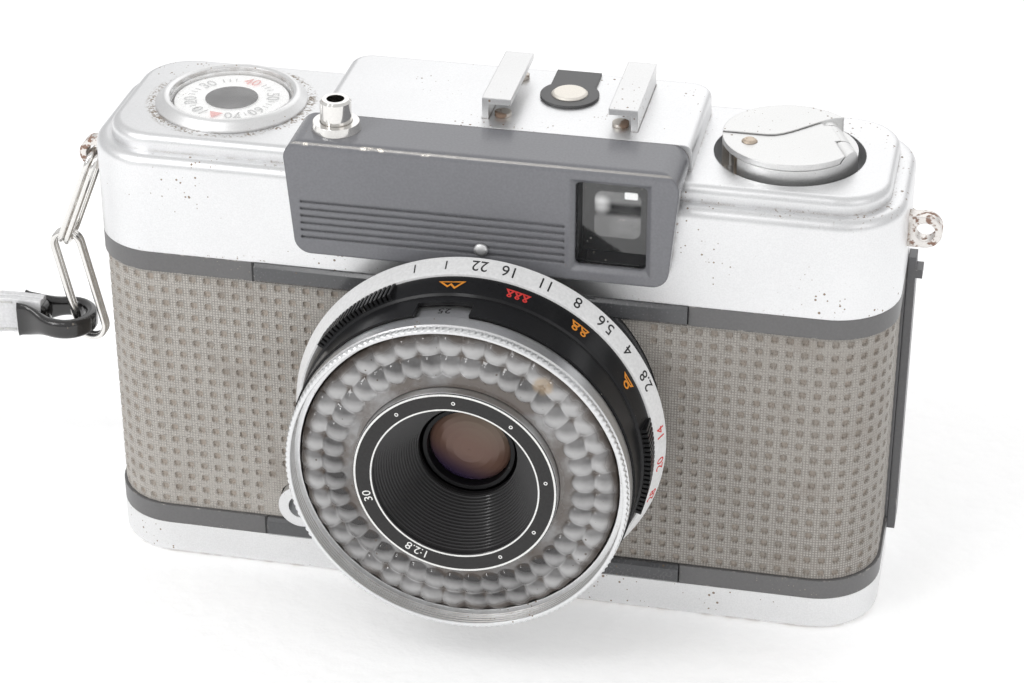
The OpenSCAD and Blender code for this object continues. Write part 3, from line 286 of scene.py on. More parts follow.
class EffectShelf:
    """Builds each shared effect once, as a node group with named inputs and one output."""

    @classmethod
    def tree(cls, which: Effect) -> Tree:
        """Finds the node group of an effect, and builds it on first use.

        Args:
            which: the effect.

        Returns:
            Its node group.
        """
        found = bpy.data.node_groups.get(which.value)
        if found is not None:
            return found
        tree = bpy.data.node_groups.new(which.value, "ShaderNodeTree")
        makers = {
            Effect.EDGE_WEAR: cls.edge_wear,
            Effect.SPECKS: cls.specks,
            Effect.GRAIN: cls.grain,
            Effect.GRIME: cls.grime,
        }
        makers[which](tree)
        return tree

    @staticmethod
    def sockets(tree: Tree, inputs: Mapping[str, float], output: str) -> Tuple[Graph, Any, Any]:
        """Gives a group its sockets.

        Args:
            tree: the group.
            inputs: names and usual values of its inputs.
            output: name of its output.

        Returns:
            The group's graph, the sockets that its inputs arrive on, and the socket that its output leaves by.
        """
        for name, usual in inputs.items():
            made = tree.interface.new_socket(name, in_out="INPUT", socket_type="NodeSocketFloat")
            made.default_value = usual
        tree.interface.new_socket(output, in_out="OUTPUT", socket_type="NodeSocketFloat")
        graph = Graph(tree)
        arrives = graph.add("NodeGroupInput").outputs
        leaves = graph.add("NodeGroupOutput").inputs[output]
        return graph, arrives, leaves

    @classmethod
    def edge_wear(cls, tree: Tree) -> None:
        """Marks broken lines along the outer edges of a solid.

        Args:
            tree: the effect's group, still empty.
        """
        graph, arrives, leaves = cls.sockets(tree, {"Width": 0.0003, "Breakup": 900.0, "Amount": 0.5}, "Mask")
        rounded = graph.add("ShaderNodeBevel", {"Radius": arrives["Width"]}, samples=EDGE_SAMPLES)
        flat = graph.add("ShaderNodeNewGeometry").outputs["Normal"]
        alike = graph.vector(VectorCalc.DOT, rounded.outputs[0], flat)
        bend = graph.span(graph.less(1.0, alike), 0.01, 0.16)
        broken = graph.plus(graph.noise(arrives["Breakup"], 5.0), arrives["Amount"])
        graph.feed(leaves, graph.times(bend, graph.span(broken, 0.92, 1.08)))

    @classmethod
    def specks(cls, tree: Tree) -> None:
        """Marks small round spots that gather in patches.

        Args:
            tree: the effect's group, still empty.
        """
        graph, arrives, leaves = cls.sockets(tree, {"Scale": 900.0, "Cover": 0.3, "Patch": 90.0}, "Mask")
        cells = graph.add("ShaderNodeTexVoronoi", {"Vector": graph.place(), "Scale": arrives["Scale"]})
        parts = graph.add("ShaderNodeSeparateColor", {0: cells.outputs["Color"]})
        patch = graph.span(graph.noise(arrives["Patch"], 4.0), 0.42, 0.68)
        reach = graph.times(graph.calc(Calc.POWER, parts.outputs[0], 3.0), arrives["Cover"])
        reach = graph.times(reach, patch)
        inside = graph.less(reach, cells.outputs["Distance"])
        graph.feed(leaves, graph.span(inside, -0.03, 0.05))

    @classmethod
    def grain(cls, tree: Tree) -> None:
        """Gives an even fine grain round one half, with a broad cloud over it.

        Args:
            tree: the effect's group, still empty.
        """
        graph, arrives, leaves = cls.sockets(tree, {"Scale": 4000.0, "Cloud": 60.0}, "Value")
        fine = graph.noise(arrives["Scale"], 2.0)
        broad = graph.noise(arrives["Cloud"], 3.0)
        graph.feed(leaves, graph.plus(graph.times(fine, 0.6), graph.times(broad, 0.4)))

    @classmethod
    def grime(cls, tree: Tree) -> None:
        """Marks dirt that has settled in corners and seams.

        Args:
            tree: the effect's group, still empty.
        """
        graph, arrives, leaves = cls.sockets(tree, {"Reach": 0.0008, "Breakup": 700.0, "Strength": 1.0}, "Mask")
        hidden = graph.add("ShaderNodeAmbientOcclusion", {"Distance": arrives["Reach"]}, samples=EDGE_SAMPLES)
        shade = graph.span(graph.less(1.0, hidden.outputs["AO"]), 0.25, 0.8)
        broken = graph.span(graph.noise(arrives["Breakup"], 4.0), 0.35, 0.65)
        graph.feed(leaves, graph.times(graph.times(shade, broken), arrives["Strength"], clamp=True))


def toned(colour: Colour, factor: float, lift: float = 0.0) -> Colour:
    """Makes a colour lighter or darker."""
    return tuple(min(1.0, factor * c + lift) for c in colour)


@dataclass(frozen=True)
class Finish:
    """A finish with a name, which makes its material on first use."""

    name: str

    def material(self) -> bpy.types.Material:
        """Makes the finish into a material, named apart from the record's slots.

        Returns:
            The material, which is made once.
        """
        label = self.name + "_finish"
        found = bpy.data.materials.get(label)
        if found is not None:
            return found
        material = bpy.data.materials.new(label)
        material.use_nodes = True
        material.node_tree.nodes.clear()
        graph = Graph(material.node_tree)
        surface = graph.add("ShaderNodeBsdfPrincipled")
        graph.add("ShaderNodeOutputMaterial", {"Surface": surface.outputs[0]})
        self.shade(graph, surface.inputs)
        return material

    def shade(self, graph: Graph, surface: Any) -> None:
        """Fills the material's tree; each kind of finish has its own way.

        Args:
            graph: the material's graph.
            surface: inputs of its Principled shader.
        """
        raise NotImplementedError

    @staticmethod
    def soften(graph: Graph, surface: Any, height: Socket, depth: float, radius: float) -> None:
        """Gives a surface its fine relief and rounds its sharp edges to the eye.

        Args:
            graph: the material's graph.
            surface: inputs of its Principled shader.
            height: the relief.
            depth: how deep the relief is, in millimetres.
            radius: how far the edges are rounded, in millimetres.
        """
        rounded = graph.add("ShaderNodeBevel", {"Radius": radius * MM}, samples=EDGE_SAMPLES).outputs[0]
        graph.bump(surface, height, depth, normal=rounded)


@dataclass(frozen=True)
class Metal(Finish):
    """Bare or plated metal with rust specks, dirty corners and a fine grain."""

    colour: Colour = (0.8, 0.8, 0.8)
    rough: float = 0.3
    specks: float = 0.0
    speck_scale: float = 900.0
    rust: Colour = (0.21, 0.125, 0.06)
    grime: float = 0.6
    grime_reach: float = 0.8
    edge: float = 0.2
    patches: float = 0.0
    patch_scale: float = 520.0
    stain_levels: Tuple[float, ...] = ()
    stain_rings: Tuple[Point, ...] = ()
    dirt: Colour = (0.19, 0.125, 0.065)

    def shade(self, graph: Graph, surface: Any) -> None:
        """Mixes plating, rust and grime by their masks.

        Args:
            graph: the material\'s graph.
            surface: inputs of its Principled shader.
        """
        grain = graph.effect(Effect.GRAIN, scale=5200.0, cloud=70.0)
        marks = graph.effect(Effect.SPECKS, scale=self.speck_scale, cover=self.specks, patch=75.0)
        dirt = graph.effect(Effect.GRIME, reach=self.grime_reach * MM, breakup=620.0, strength=self.grime)
        for level in self.stain_levels:
            marks = graph.highest(marks, self.stain(graph, level))
        for ring in self.stain_rings:
            dirt = graph.highest(dirt, self.dirt_ring(graph, ring))
        if self.patches:
            wider = 0.2 * self.patches
            rusty = graph.span(graph.noise(self.patch_scale, 6.0), 0.60 - wider, 0.72 - wider)
            marks = graph.highest(marks, rusty)
        plated = graph.blend(graph.span(grain, 0.3, 0.7), toned(self.colour, 0.9), self.colour)
        stained = graph.blend(graph.times(marks, 0.85), plated, self.rust)
        graph.feed(surface["Base Color"], graph.blend(dirt, stained, self.dirt))
        lost = graph.highest(marks, dirt)
        graph.feed(surface["Metallic"], graph.span(lost, 0.1, 1.0, 1.0, 0.15))
        rough = graph.plus(graph.times(grain, 0.16), self.rough - 0.08)
        graph.feed(surface["Roughness"], graph.plus(rough, graph.times(lost, 0.35), clamp=True))
        relief = graph.less(graph.times(grain, 0.25), marks)
        self.soften(graph, surface, relief, 0.005, self.edge)

    @staticmethod
    def stain(graph: Graph, level: float) -> Socket:
        """Marks rust freckles in a band round one height.

        Args:
            graph: the material's graph.
            level: the height in millimetres.

        Returns:
            The mask of the freckles.
        """
        height = graph.part("Z")
        off = graph.calc(Calc.SIZE, graph.less(height, level * MM))
        band = graph.span(off, 0.0001, 0.0011, 1.0, 0.0)
        broken = graph.span(graph.noise(1900.0, 4.0), 0.60, 0.70)
        patch = graph.span(graph.noise(90.0, 2.0), 0.46, 0.62)
        return graph.times(graph.times(band, broken), patch)

    @staticmethod
    def dirt_ring(graph: Graph, ring: Point) -> Socket:
        """Marks dirt that has gathered round an upright collar.

        Args:
            graph: the material's graph.
            ring: the collar's place and its radius, in millimetres.

        Returns:
            The mask of the dirt.
        """
        middle = (ring[0] * MM, ring[1] * MM, 0.0)
        away = graph.vector(VectorCalc.LESS, graph.place(), middle)
        flat = graph.vector(VectorCalc.TIMES, away, (1.0, 1.0, 0.0))
        reach = graph.vector(VectorCalc.LENGTH, flat)
        off = graph.calc(Calc.SIZE, graph.less(reach, ring[2] * MM))
        band = graph.span(off, 0.0, 0.0011, 1.0, 0.0)
        broken = graph.plus(graph.noise(2800.0, 3.0), graph.times(graph.noise(130.0, 2.0), 0.5))
        return graph.times(band, graph.span(broken, 0.70, 0.90, 0.0, 0.9))


@dataclass(frozen=True)
class Paint(Finish):
    """Paint on metal, chipped along its edges, with a painted highlight along one straight edge where given."""

    colour: Colour = (0.1, 0.1, 0.1)
    rough: float = 0.35
    coat: float = 0.0
    chips: float = 0.3
    chip_width: float = 0.35
    specks: float = 0.0
    speck_colour: Colour = (0.2, 0.12, 0.06)
    edge: float = 0.25
    speck_scale: float = 1100.0
    # Where given, the edge for bare spots and a painted highlight line: its end along X, and its Y and Z.
    scuff_and_highlight_edge: Tuple[float, ...] = ()
    shine: float = 0.5
    dirt: Colour = (0.035, 0.03, 0.025)
    bare: Colour = (0.62, 0.59, 0.54)

    def shade(self, graph: Graph, surface: Any) -> None:
        """Lays paint over metal, bares it at rubbed edges and paints one edge's highlight as bare metal.

        Args:
            graph: the material\'s graph.
            surface: inputs of its Principled shader.
        """
        grain = graph.effect(Effect.GRAIN, scale=3000.0, cloud=45.0)
        wear_and_painted_highlight = graph.effect(Effect.EDGE_WEAR, width=self.chip_width * MM, breakup=750.0, amount=self.chips)
        if self.scuff_and_highlight_edge:
            # The edge's mask joins the chips: real bare spots and a painted highlight line.
            wear_and_painted_highlight = graph.highest(wear_and_painted_highlight, self.scuffs_and_painted_highlight(graph))
        marks = graph.effect(Effect.SPECKS, scale=self.speck_scale, cover=self.specks, patch=60.0)
        dirt = graph.effect(Effect.GRIME, reach=0.0006, breakup=500.0, strength=0.5)
        paint = graph.blend(graph.span(grain, 0.3, 0.7), self.colour, toned(self.colour, 1.12, 0.004))
        paint = graph.blend(graph.times(marks, 0.8), paint, self.speck_colour)
        paint = graph.blend(graph.times(dirt, 0.6), paint, self.dirt)
        graph.feed(surface["Base Color"], graph.blend(wear_and_painted_highlight, paint, self.bare))
        graph.feed(surface["Metallic"], graph.times(wear_and_painted_highlight, 0.9))
        rough = graph.plus(graph.times(grain, 0.14), self.rough - 0.07)
        graph.feed(surface["Roughness"], graph.plus(rough, graph.times(dirt, 0.3), clamp=True))
        graph.fill(surface, {
            "Specular IOR Level": self.shine, "Coat Weight": self.coat, "Coat Roughness": 0.12,
        })
        relief = graph.less(graph.times(grain, 0.5), wear_and_painted_highlight)
        self.soften(graph, surface, relief, 0.015, self.edge)

    def scuffs_and_painted_highlight(self, graph: Graph) -> Socket:
        """Marks bare spots along a straight edge that runs along X, and a painted highlight line along the edge
        itself.

        Args:
            graph: the material's graph.

        Returns:
            The mask of the spots and the painted highlight line.
        """
        end, depth, height = self.scuff_and_highlight_edge
        middle = (0.0, depth * MM, height * MM)
        away = graph.vector(VectorCalc.LESS, graph.place(), middle)
        side = graph.vector(VectorCalc.TIMES, away, (0.0, 1.0, 1.0))
        off = graph.vector(VectorCalc.LENGTH, side)
        along = graph.part("X", away)
        near = graph.span(off, 0.0001, 0.00042, 1.0, 0.0)
        zone = graph.times(near, graph.span(along, (end - 9.0) * MM, end * MM, 1.0, 0.0))
        spots = graph.times(zone, graph.span(graph.noise(640.0, 6.0), 0.52, 0.58))
        # The line along the edge is a painted highlight, shown like bare metal.
        return graph.highest(spots, graph.span(off, 0.00008, 0.00026, 0.42, 0.0))


@dataclass(frozen=True)
class Glass(Finish):
    """Glass or clear plastic with dust on it."""

    colour: Colour = (0.95, 0.96, 0.96)
    clear: float = 1.0
    rough: float = 0.02
    bend: float = 1.5
    dust: float = 0.25
    dirt: Colour = (0.30, 0.25, 0.2)

    def shade(self, graph: Graph, surface: Any) -> None:
        """Sets plain clearness and lays dust and dirt over it.

        Args:
            graph: the material\'s graph.
            surface: inputs of its Principled shader.
        """
        dust = graph.effect(Effect.SPECKS, scale=1400.0, cover=self.dust, patch=140.0)
        cloud = graph.span(graph.effect(Effect.GRAIN, scale=900.0, cloud=120.0), 0.35, 0.7)
        body = graph.blend(cloud, toned(self.colour, 0.86), self.colour)
        graph.feed(surface["Base Color"], graph.blend(graph.times(dust, 0.7), body, self.dirt))
        graph.feed(surface["Roughness"], graph.plus(graph.times(dust, 0.4), self.rough))
        graph.fill(surface, {"Transmission Weight": self.clear, "IOR": self.bend})


@dataclass(frozen=True)
class Pane(Finish):
    """Thin clear plastic with a haze and dust over it."""

    colour: Colour = (0.92, 0.92, 0.92)
    haze: float = 0.2
    dust: float = 0.2
    dirt: Colour = (0.42, 0.37, 0.3)

    def shade(self, graph: Graph, surface: Any) -> None:
        """Lets most of the light through and thickens where dust and scratches lie.

        Args:
            graph: the material\'s graph.
            surface: inputs of its Principled shader.
        """
        dust = graph.effect(Effect.SPECKS, scale=1500.0, cover=self.dust, patch=150.0)
        cloud = graph.span(graph.effect(Effect.GRAIN, scale=350.0, cloud=110.0), 0.3, 0.7)
        graph.feed(surface["Base Color"], graph.blend(dust, self.colour, self.dirt))
        veil = graph.plus(graph.times(cloud, 0.5 * self.haze), 0.75 * self.haze)
        graph.feed(surface["Alpha"], graph.plus(veil, graph.times(dust, 0.5), clamp=True))
        graph.feed(surface["Roughness"], graph.plus(graph.times(cloud, 0.06), 0.03))
        graph.fill(surface, {"Coat Weight": 1.0, "Coat Roughness": 0.02})


@dataclass(frozen=True)
class FinderPaintedView(Finish):
    """Finder front lens with a painted glowing view: the eyepiece, a glint and glare, and a dark reflection at
    lower left.
    """

    # These fields place painted light: the glow's level, the eyepiece's image, a glint, glare, a dark
    # reflection's edge and a band.
    veil: float = 0.085
    painted_eye_at: Flat = (17.65, 59.45)
    painted_eye_half: Flat = (3.0, 3.25)
    painted_eye_round: float = 1.1
    painted_glint_at: Flat = (19.35, 62.3)
    painted_glint_half: Flat = (0.85, 0.5)
    glare_at: Flat = (15.5, 60.7)
    # Slanted edge of a painted dark reflection: the glow is cut off below and left of it.
    wall: Tuple[Flat, Flat] = ((12.1, 58.2), (19.6, 53.2))
    painted_band_z: float = 60.2
    glass: Colour = (0.004, 0.004, 0.004)
    dirt: Colour = (0.1, 0.08, 0.06)

    def shade(self, graph: Graph, surface: Any) -> None:
        """Paints the view in the lens as emitted light, dark past a slanted line, with dust over it.

        Args:
            graph: the material\'s graph.
            surface: inputs of its Principled shader.
        """
        painted_eye_edge = self.box(graph, self.painted_eye_at, self.painted_eye_half, self.painted_eye_round)
        painted_eye = graph.span(painted_eye_edge, -0.00012, 0.00012, 1.0, 0.0)
        patch = graph.span(self.box(graph, self.painted_glint_at, self.painted_glint_half, 0.2), -0.0001, 0.0001, 1.0, 0.0)
        glare = graph.span(self.box(graph, self.glare_at, (0.1, 0.3), 0.1), 0.0, 0.0015, 0.5, 0.0)
        off = graph.calc(Calc.SIZE, graph.less(graph.part("Z"), self.painted_band_z * MM))
        band = graph.span(off, 0.0004, 0.0013, -0.12, 0.10)
        cloud = graph.span(graph.noise(260.0, 3.0), 0.35, 0.7, 0.0, 0.07)
        seen = graph.plus(graph.plus(band, glare), cloud)
        tone = graph.plus(graph.times(painted_eye, seen), self.veil)
        tone = graph.plus(tone, graph.times(patch, 0.75))
        (x0, z0), (x1, z1) = self.wall
        across = graph.vector(VectorCalc.LESS, graph.place(), (x0 * MM, 0.0, z0 * MM))
        span = math.hypot(x1 - x0, z1 - z0)
        upward = ((z0 - z1) / span, 0.0, (x1 - x0) / span)
        over = graph.vector(VectorCalc.DOT, across, upward)
        ragged = graph.times(graph.less(graph.noise(1500.0, 2.0), 0.5), 0.0005)
        # Painted dark reflection: the glow fades out below and left of the slanted line.
        tone = graph.times(tone, graph.span(graph.plus(over, ragged), -0.0002, 0.0003))
        dust = graph.effect(Effect.SPECKS, scale=2600.0, cover=0.5, patch=300.0)
        light = graph.highest(graph.plus(tone, 0.006), graph.times(dust, 0.10))
        grey = graph.add("ShaderNodeCombineColor", {0: light, 1: light, 2: light}).outputs[0]
        # The painted view is emitted light, though the lens is no lamp.
        graph.feed(surface["Emission Color"], grey)
        graph.feed(surface["Emission Strength"], 1.0)
        graph.feed(surface["Base Color"], graph.blend(dust, self.glass, self.dirt))
        graph.feed(surface["Roughness"], graph.plus(graph.times(dust, 0.3), 0.06))
        graph.feed(surface["Specular IOR Level"], 0.1)

    @staticmethod
    def box(graph: Graph, at: Flat, half: Flat, corner: float) -> Socket:
        """Measures how far a place is from a rectangle with rounded corners, in the plane of the lens.

        Args:
            graph: the material's graph.
            at: the rectangle's middle, as X and Z.
            half: its half sizes.
            corner: radius of its corners.

        Returns:
            The distance in metres, below zero inside.
        """
        middle = (at[0] * MM, 0.0, at[1] * MM)
        core = ((half[0] - corner) * MM, 1.0, (half[1] - corner) * MM)
        away = graph.vector(VectorCalc.LESS, graph.place(), middle)
        size = graph.vector(VectorCalc.SIZE, away)
        past = graph.vector(VectorCalc.LESS, size, core)
        out = graph.vector(VectorCalc.HIGHEST, past, (0.0, 0.0, 0.0))
        length = graph.vector(VectorCalc.LENGTH, out)
        return graph.less(length, corner * MM)


@dataclass(frozen=True)
class LensCoat(Finish):
    """Coated lens glass: the coating's amber and purple, run as a painted reflection from pale top right to
    lower left rim.
    """

    top: Colour = (0.26, 0.215, 0.16)
    middle: Colour = (0.21, 0.12, 0.09)
    low: Colour = (0.045, 0.03, 0.075)
    centre: Point = (LENS_AT[0], 0.0, LENS_AT[1])
    radius: float = 6.4
    painted_reflection_way: Point = (0.45, 0.0, 0.89)
    dirt: Colour = (0.5, 0.46, 0.4)
    gloss_tint: Colour = (1.0, 0.8, 0.75)

    def shade(self, graph: Graph, surface: Any) -> None:
        """Runs the coating's colours from rim to rim as a painted reflection and lays a little dust on the
        glass.

        Args:
            graph: the material\'s graph.
            surface: inputs of its Principled shader.
        """
        away = graph.vector(VectorCalc.LESS, graph.place(), Vector(self.centre) * MM)
        # Painted reflection: the colours run along this way across the glass.
        along = graph.vector(VectorCalc.DOT, away, self.painted_reflection_way)
        part = graph.times(along, 1.0 / (self.radius * MM))
        sway = graph.times(graph.less(graph.noise(55.0, 0.0), 0.5), 0.5)
        part = graph.plus(part, sway)
        upper = graph.span(part, 0.1, 1.0)
        lower = graph.span(part, -0.75, 0.0)
        body = graph.blend(lower, self.low, graph.blend(upper, self.middle, self.top))
        dust = graph.effect(Effect.SPECKS, scale=1500.0, cover=0.14, patch=150.0)
        graph.feed(surface["Base Color"], graph.blend(graph.times(dust, 0.6), body, self.dirt))
        graph.feed(surface["Roughness"], graph.plus(graph.times(dust, 0.3), 0.2))
        graph.fill(surface, {"Transmission Weight": 0.15, "IOR": 1.6, "Specular Tint": (*self.gloss_tint, 1.0)})


@dataclass(frozen=True)
class Bubbles(Finish):
    """Moulded glass over a light cell: painted reflection dark facing up, pale facing down, with brown dirt in
    its seams.
    """

    light: Colour = (0.50, 0.495, 0.495)
    dark: Colour = (0.04, 0.037, 0.037)
    dirt: Colour = (0.085, 0.058, 0.04)
    rims: Flat = (13.4, 20.9)
    centre: Point = (LENS_AT[0], 0.0, LENS_AT[1])
    glue_at: Point = (11.2, 0.0, 15.2)
    glue: Colour = (0.45, 0.33, 0.2)
    painted_shade_way: Point = (-1.0, 0.0, -12.0)

    def shade(self, graph: Graph, surface: Any) -> None:
        """Paints a reflection by each bubble's slope and a shade by row and towards the bottom, dirties the
        seams and rims and keeps the glass glossy.

        Args:
            graph: the material\'s graph.
            surface: inputs of its Principled shader.
        """
        away = graph.vector(VectorCalc.LESS, graph.place(), Vector(self.centre) * MM)
        flat = graph.vector(VectorCalc.TIMES, away, (1.0, 0.0, 1.0))
        reach = graph.vector(VectorCalc.LENGTH, flat)
        wander = graph.times(graph.less(graph.noise(300.0, 4.0), 0.5), 0.003)
        reach = graph.plus(reach, wander)
        inner = graph.span(reach, self.rims[0] * MM, (self.rims[0] + 0.9) * MM, 1.0, 0.0)
        outer = graph.span(reach, (self.rims[1] - 1.5) * MM, (self.rims[1] - 0.1) * MM)
        rim = graph.highest(graph.times(inner, 0.8), outer)
        # Painted reflection: darker where the surface faces up, paler where it faces down.
        facing = graph.add("ShaderNodeTexCoord").outputs["Normal"]
        lean = graph.part("Z", facing)
        slope = graph.span(lean, -0.18, 0.42, -0.22, 0.36)
        # Painted shade of each row, carried by the mesh.
        shade = graph.attribute("shade")
        cloud = graph.span(graph.noise(85.0, 2.0), 0.34, 0.68, -0.12, 0.26)
        streak = graph.times(graph.less(graph.noise(520.0, 5.0), 0.5), 0.45)
        # Painted shade: the ring grows darker towards the bottom.
        low = graph.vector(VectorCalc.DOT, flat, self.painted_shade_way)
        cloud = graph.plus(cloud, low)
        depth = graph.plus(graph.plus(shade, slope), graph.plus(cloud, streak), clamp=True)
        tone = graph.blend(depth, self.light, self.dark)
        seam = graph.attribute("seam")
        silt = graph.times(seam, graph.span(graph.noise(240.0, 5.0), 0.32, 0.6))
        silt = graph.highest(graph.times(silt, 0.85), graph.times(rim, 0.85))
        tone = graph.blend(silt, tone, self.dirt)
        spot = graph.vector(VectorCalc.DISTANCE, flat, Vector(self.glue_at) * MM)
        spot = graph.plus(spot, graph.times(wander, 0.8))
        tone = graph.blend(graph.span(spot, 0.0008, 0.0016, 0.75, 0.0), tone, self.glue)
        specks = graph.effect(Effect.SPECKS, scale=1300.0, cover=0.35, patch=180.0)
        graph.feed(surface["Base Color"], graph.blend(graph.times(specks, 0.8), tone, self.dirt))
        graph.feed(surface["Roughness"], graph.plus(graph.times(rim, 0.35), 0.09))
        graph.fill(surface, {
            "Transmission Weight": 0.12, "IOR": 1.5, "Coat Weight": 1.0, "Coat Roughness": 0.06,
        })


@dataclass(frozen=True)
class Woven(Finish):
    """Leatherette pressed with square pits and a fine weave between them."""

    colour: Colour = (0.60, 0.565, 0.52)
    pit: Colour = (0.49, 0.43, 0.375)
    rough: float = 0.5
    pitch: float = PIT_PITCH
    threads: float = 5.0

    def shade(self, graph: Graph, surface: Any) -> None:
        """Runs threads along and across the wrap, darkens the pits and paints a shade towards +X.

        Args:
            graph: the material\'s graph.
            surface: inputs of its Principled shader.
        """
        run = graph.attribute("wrap", "Vector")
        parts = graph.add("ShaderNodeSeparateXYZ", {0: run})
        threads = None
        for axis in ("X", "Y"):
            step = graph.times(parts.outputs[axis], self.threads / self.pitch)
            wave = graph.span(graph.calc(Calc.FOLD, step, 0.5), 0.08, 0.30)
            threads = wave if threads is None else graph.times(threads, wave)
        sunk = parts.outputs["Z"]
        grain = graph.effect(Effect.GRAIN, scale=2600.0, cloud=28.0)
        face = graph.blend(threads, toned(self.colour, 0.5), self.colour)
        face = graph.blend(graph.span(grain, 0.34, 0.6), toned(self.colour, 0.8), face)
        dirt = graph.span(graph.noise(420.0, 5.0), 0.3, 0.65, 0.45, 1.0)
        face = graph.blend(graph.times(sunk, dirt), face, self.pit)
        # Painted shade: the covering darkens towards +X, as light from the left falls off.
        along = graph.part("X")
        painted_falloff = graph.span(along, -0.03, 0.03, 0.0, 0.25)
        face = graph.blend(painted_falloff, face, toned(self.pit, 0.3))
        stain = graph.span(graph.noise(150.0, 6.0), 0.52, 0.75, 0.0, 0.5)
        graph.feed(surface["Base Color"], graph.blend(stain, face, toned(self.pit, 0.6)))
        graph.feed(surface["Roughness"], graph.plus(graph.times(grain, 0.2), self.rough - 0.1))
        graph.feed(surface["Specular IOR Level"], 0.4)
        height = graph.plus(graph.times(threads, 0.7), graph.times(grain, 0.4))
        graph.bump(surface, height, 0.07, 0.9)


@dataclass(frozen=True)
class Moulded(Finish):
    """Moulded plastic, rubber or vinyl with a fine grain and handling marks, and an even painted glow where
    asked.
    """

    colour: Colour = (0.03, 0.03, 0.03)
    rough: float = 0.4
    coat: float = 0.0
    glow: float = 0.0
    dust: float = 0.1
    dust_colour: Colour = (0.35, 0.33, 0.3)
    edge: float = 0.2
    # Even painted glow, emitted though the part is no lamp.
    painted_light: float = 0.0

    def shade(self, graph: Graph, surface: Any) -> None:
        """Varies tone and gloss, lays dust on the surface and adds the even painted glow.

        Args:
            graph: the material\'s graph.
            surface: inputs of its Principled shader.
        """
        grain = graph.effect(Effect.GRAIN, scale=2400.0, cloud=90.0)
        dust = graph.effect(Effect.SPECKS, scale=1600.0, cover=self.dust, patch=110.0)
        body = graph.blend(graph.span(grain, 0.32, 0.68), toned(self.colour, 0.86), self.colour)
        graph.feed(surface["Base Color"], graph.blend(graph.times(dust, 0.8), body, self.dust_colour))
        rough = graph.plus(graph.times(grain, 0.2), self.rough - 0.1)
        graph.feed(surface["Roughness"], graph.plus(rough, graph.times(dust, 0.3), clamp=True))
        # Emission carries the even painted glow.
        graph.fill(surface, {
            "Coat Weight": self.coat, "Subsurface Weight": self.glow,
            "Subsurface Radius": (0.002, 0.002, 0.002), "Emission Color": (*WHITE, 1.0),
            "Emission Strength": self.painted_light,
        })
        self.soften(graph, surface, grain, 0.012, self.edge)


@dataclass(frozen=True)
class Ink(Finish):
    """Printed or filled marks, slightly uneven."""

    colour: Colour = (0.02, 0.02, 0.02)

    def shade(self, graph: Graph, surface: Any) -> None:
        """Varies the ink a little along its strokes.

        Args:
            graph: the material\'s graph.
            surface: inputs of its Principled shader.
        """
        grain = graph.effect(Effect.GRAIN, scale=3500.0, cloud=300.0)
        thin = toned(self.colour, 1.2, 0.015)
        graph.feed(surface["Base Color"], graph.blend(graph.span(grain, 0.3, 0.75), self.colour, thin))
        graph.feed(surface["Roughness"], graph.plus(graph.times(grain, 0.2), 0.4))


SATIN_CHROME = Metal(
    "satin_chrome", (0.87, 0.873, 0.88), 0.40, 0.42, 1900.0, grime=0.5, stain_levels=(62.2, 48.5),
    stain_rings=((*COUNTER_AT, 10.7),),
)
BASE_CHROME = Metal("base_chrome", (0.86, 0.862, 0.866), 0.42, 0.44, 1700.0)
RING_CHROME = Metal("ring_chrome", (0.82, 0.825, 0.83), 0.32, 0.3, 1900.0, grime=0.35)
GROOVE_STEEL = Metal("groove_steel", (0.5, 0.49, 0.48), 0.45, 0.3, 1900.0, grime=0.6)
BEZEL_CHROME = Metal("bezel_chrome", (0.90, 0.90, 0.90), 0.4, 0.3, 1900.0, (0.3, 0.2, 0.1), grime=0.3)
KNOB_CHROME = Metal("knob_chrome", (0.85, 0.85, 0.845), 0.44, 0.45, 1900.0, (0.2, 0.13, 0.07), 0.15, 0.4)
RIVET_BROWN = Metal("rivet_brown", (0.66, 0.56, 0.46), 0.45, 0.4, 1900.0, patches=0.3)
SHOE_STEEL = Metal("shoe_steel", (0.82, 0.82, 0.82), 0.4, 0.4, 1900.0, grime=0.5)
CONTACT_DULL = Metal("contact_dull", (0.95, 0.91, 0.84), 0.55, 0.6, 3200.0, (0.40, 0.30, 0.20))
RUSTY_SCREW = Metal(
    "rusty_screw", (0.66, 0.62, 0.57), 0.4, 0.5, 1900.0, (0.20, 0.11, 0.06), 0.9, patches=0.5
)
LUG_STEEL = Metal(
    "lug_steel", (0.84, 0.81, 0.78), 0.36, 0.75, 1900.0, (0.24, 0.10, 0.045), 1.0, 1.6,
    patches=0.42, patch_scale=1300.0,
)
BRIGHT_NICKEL = Metal("bright_nickel", (0.86, 0.845, 0.82), 0.14, 0.2, 1600.0, grime=0.8, edge=0.05)
PLAIN_STEEL = Metal("plain_steel", (0.6, 0.6, 0.59), 0.35, 0.15)
YELLOW_BRASS = Metal("yellow_brass", (0.72, 0.55, 0.27), 0.32, 0.15)
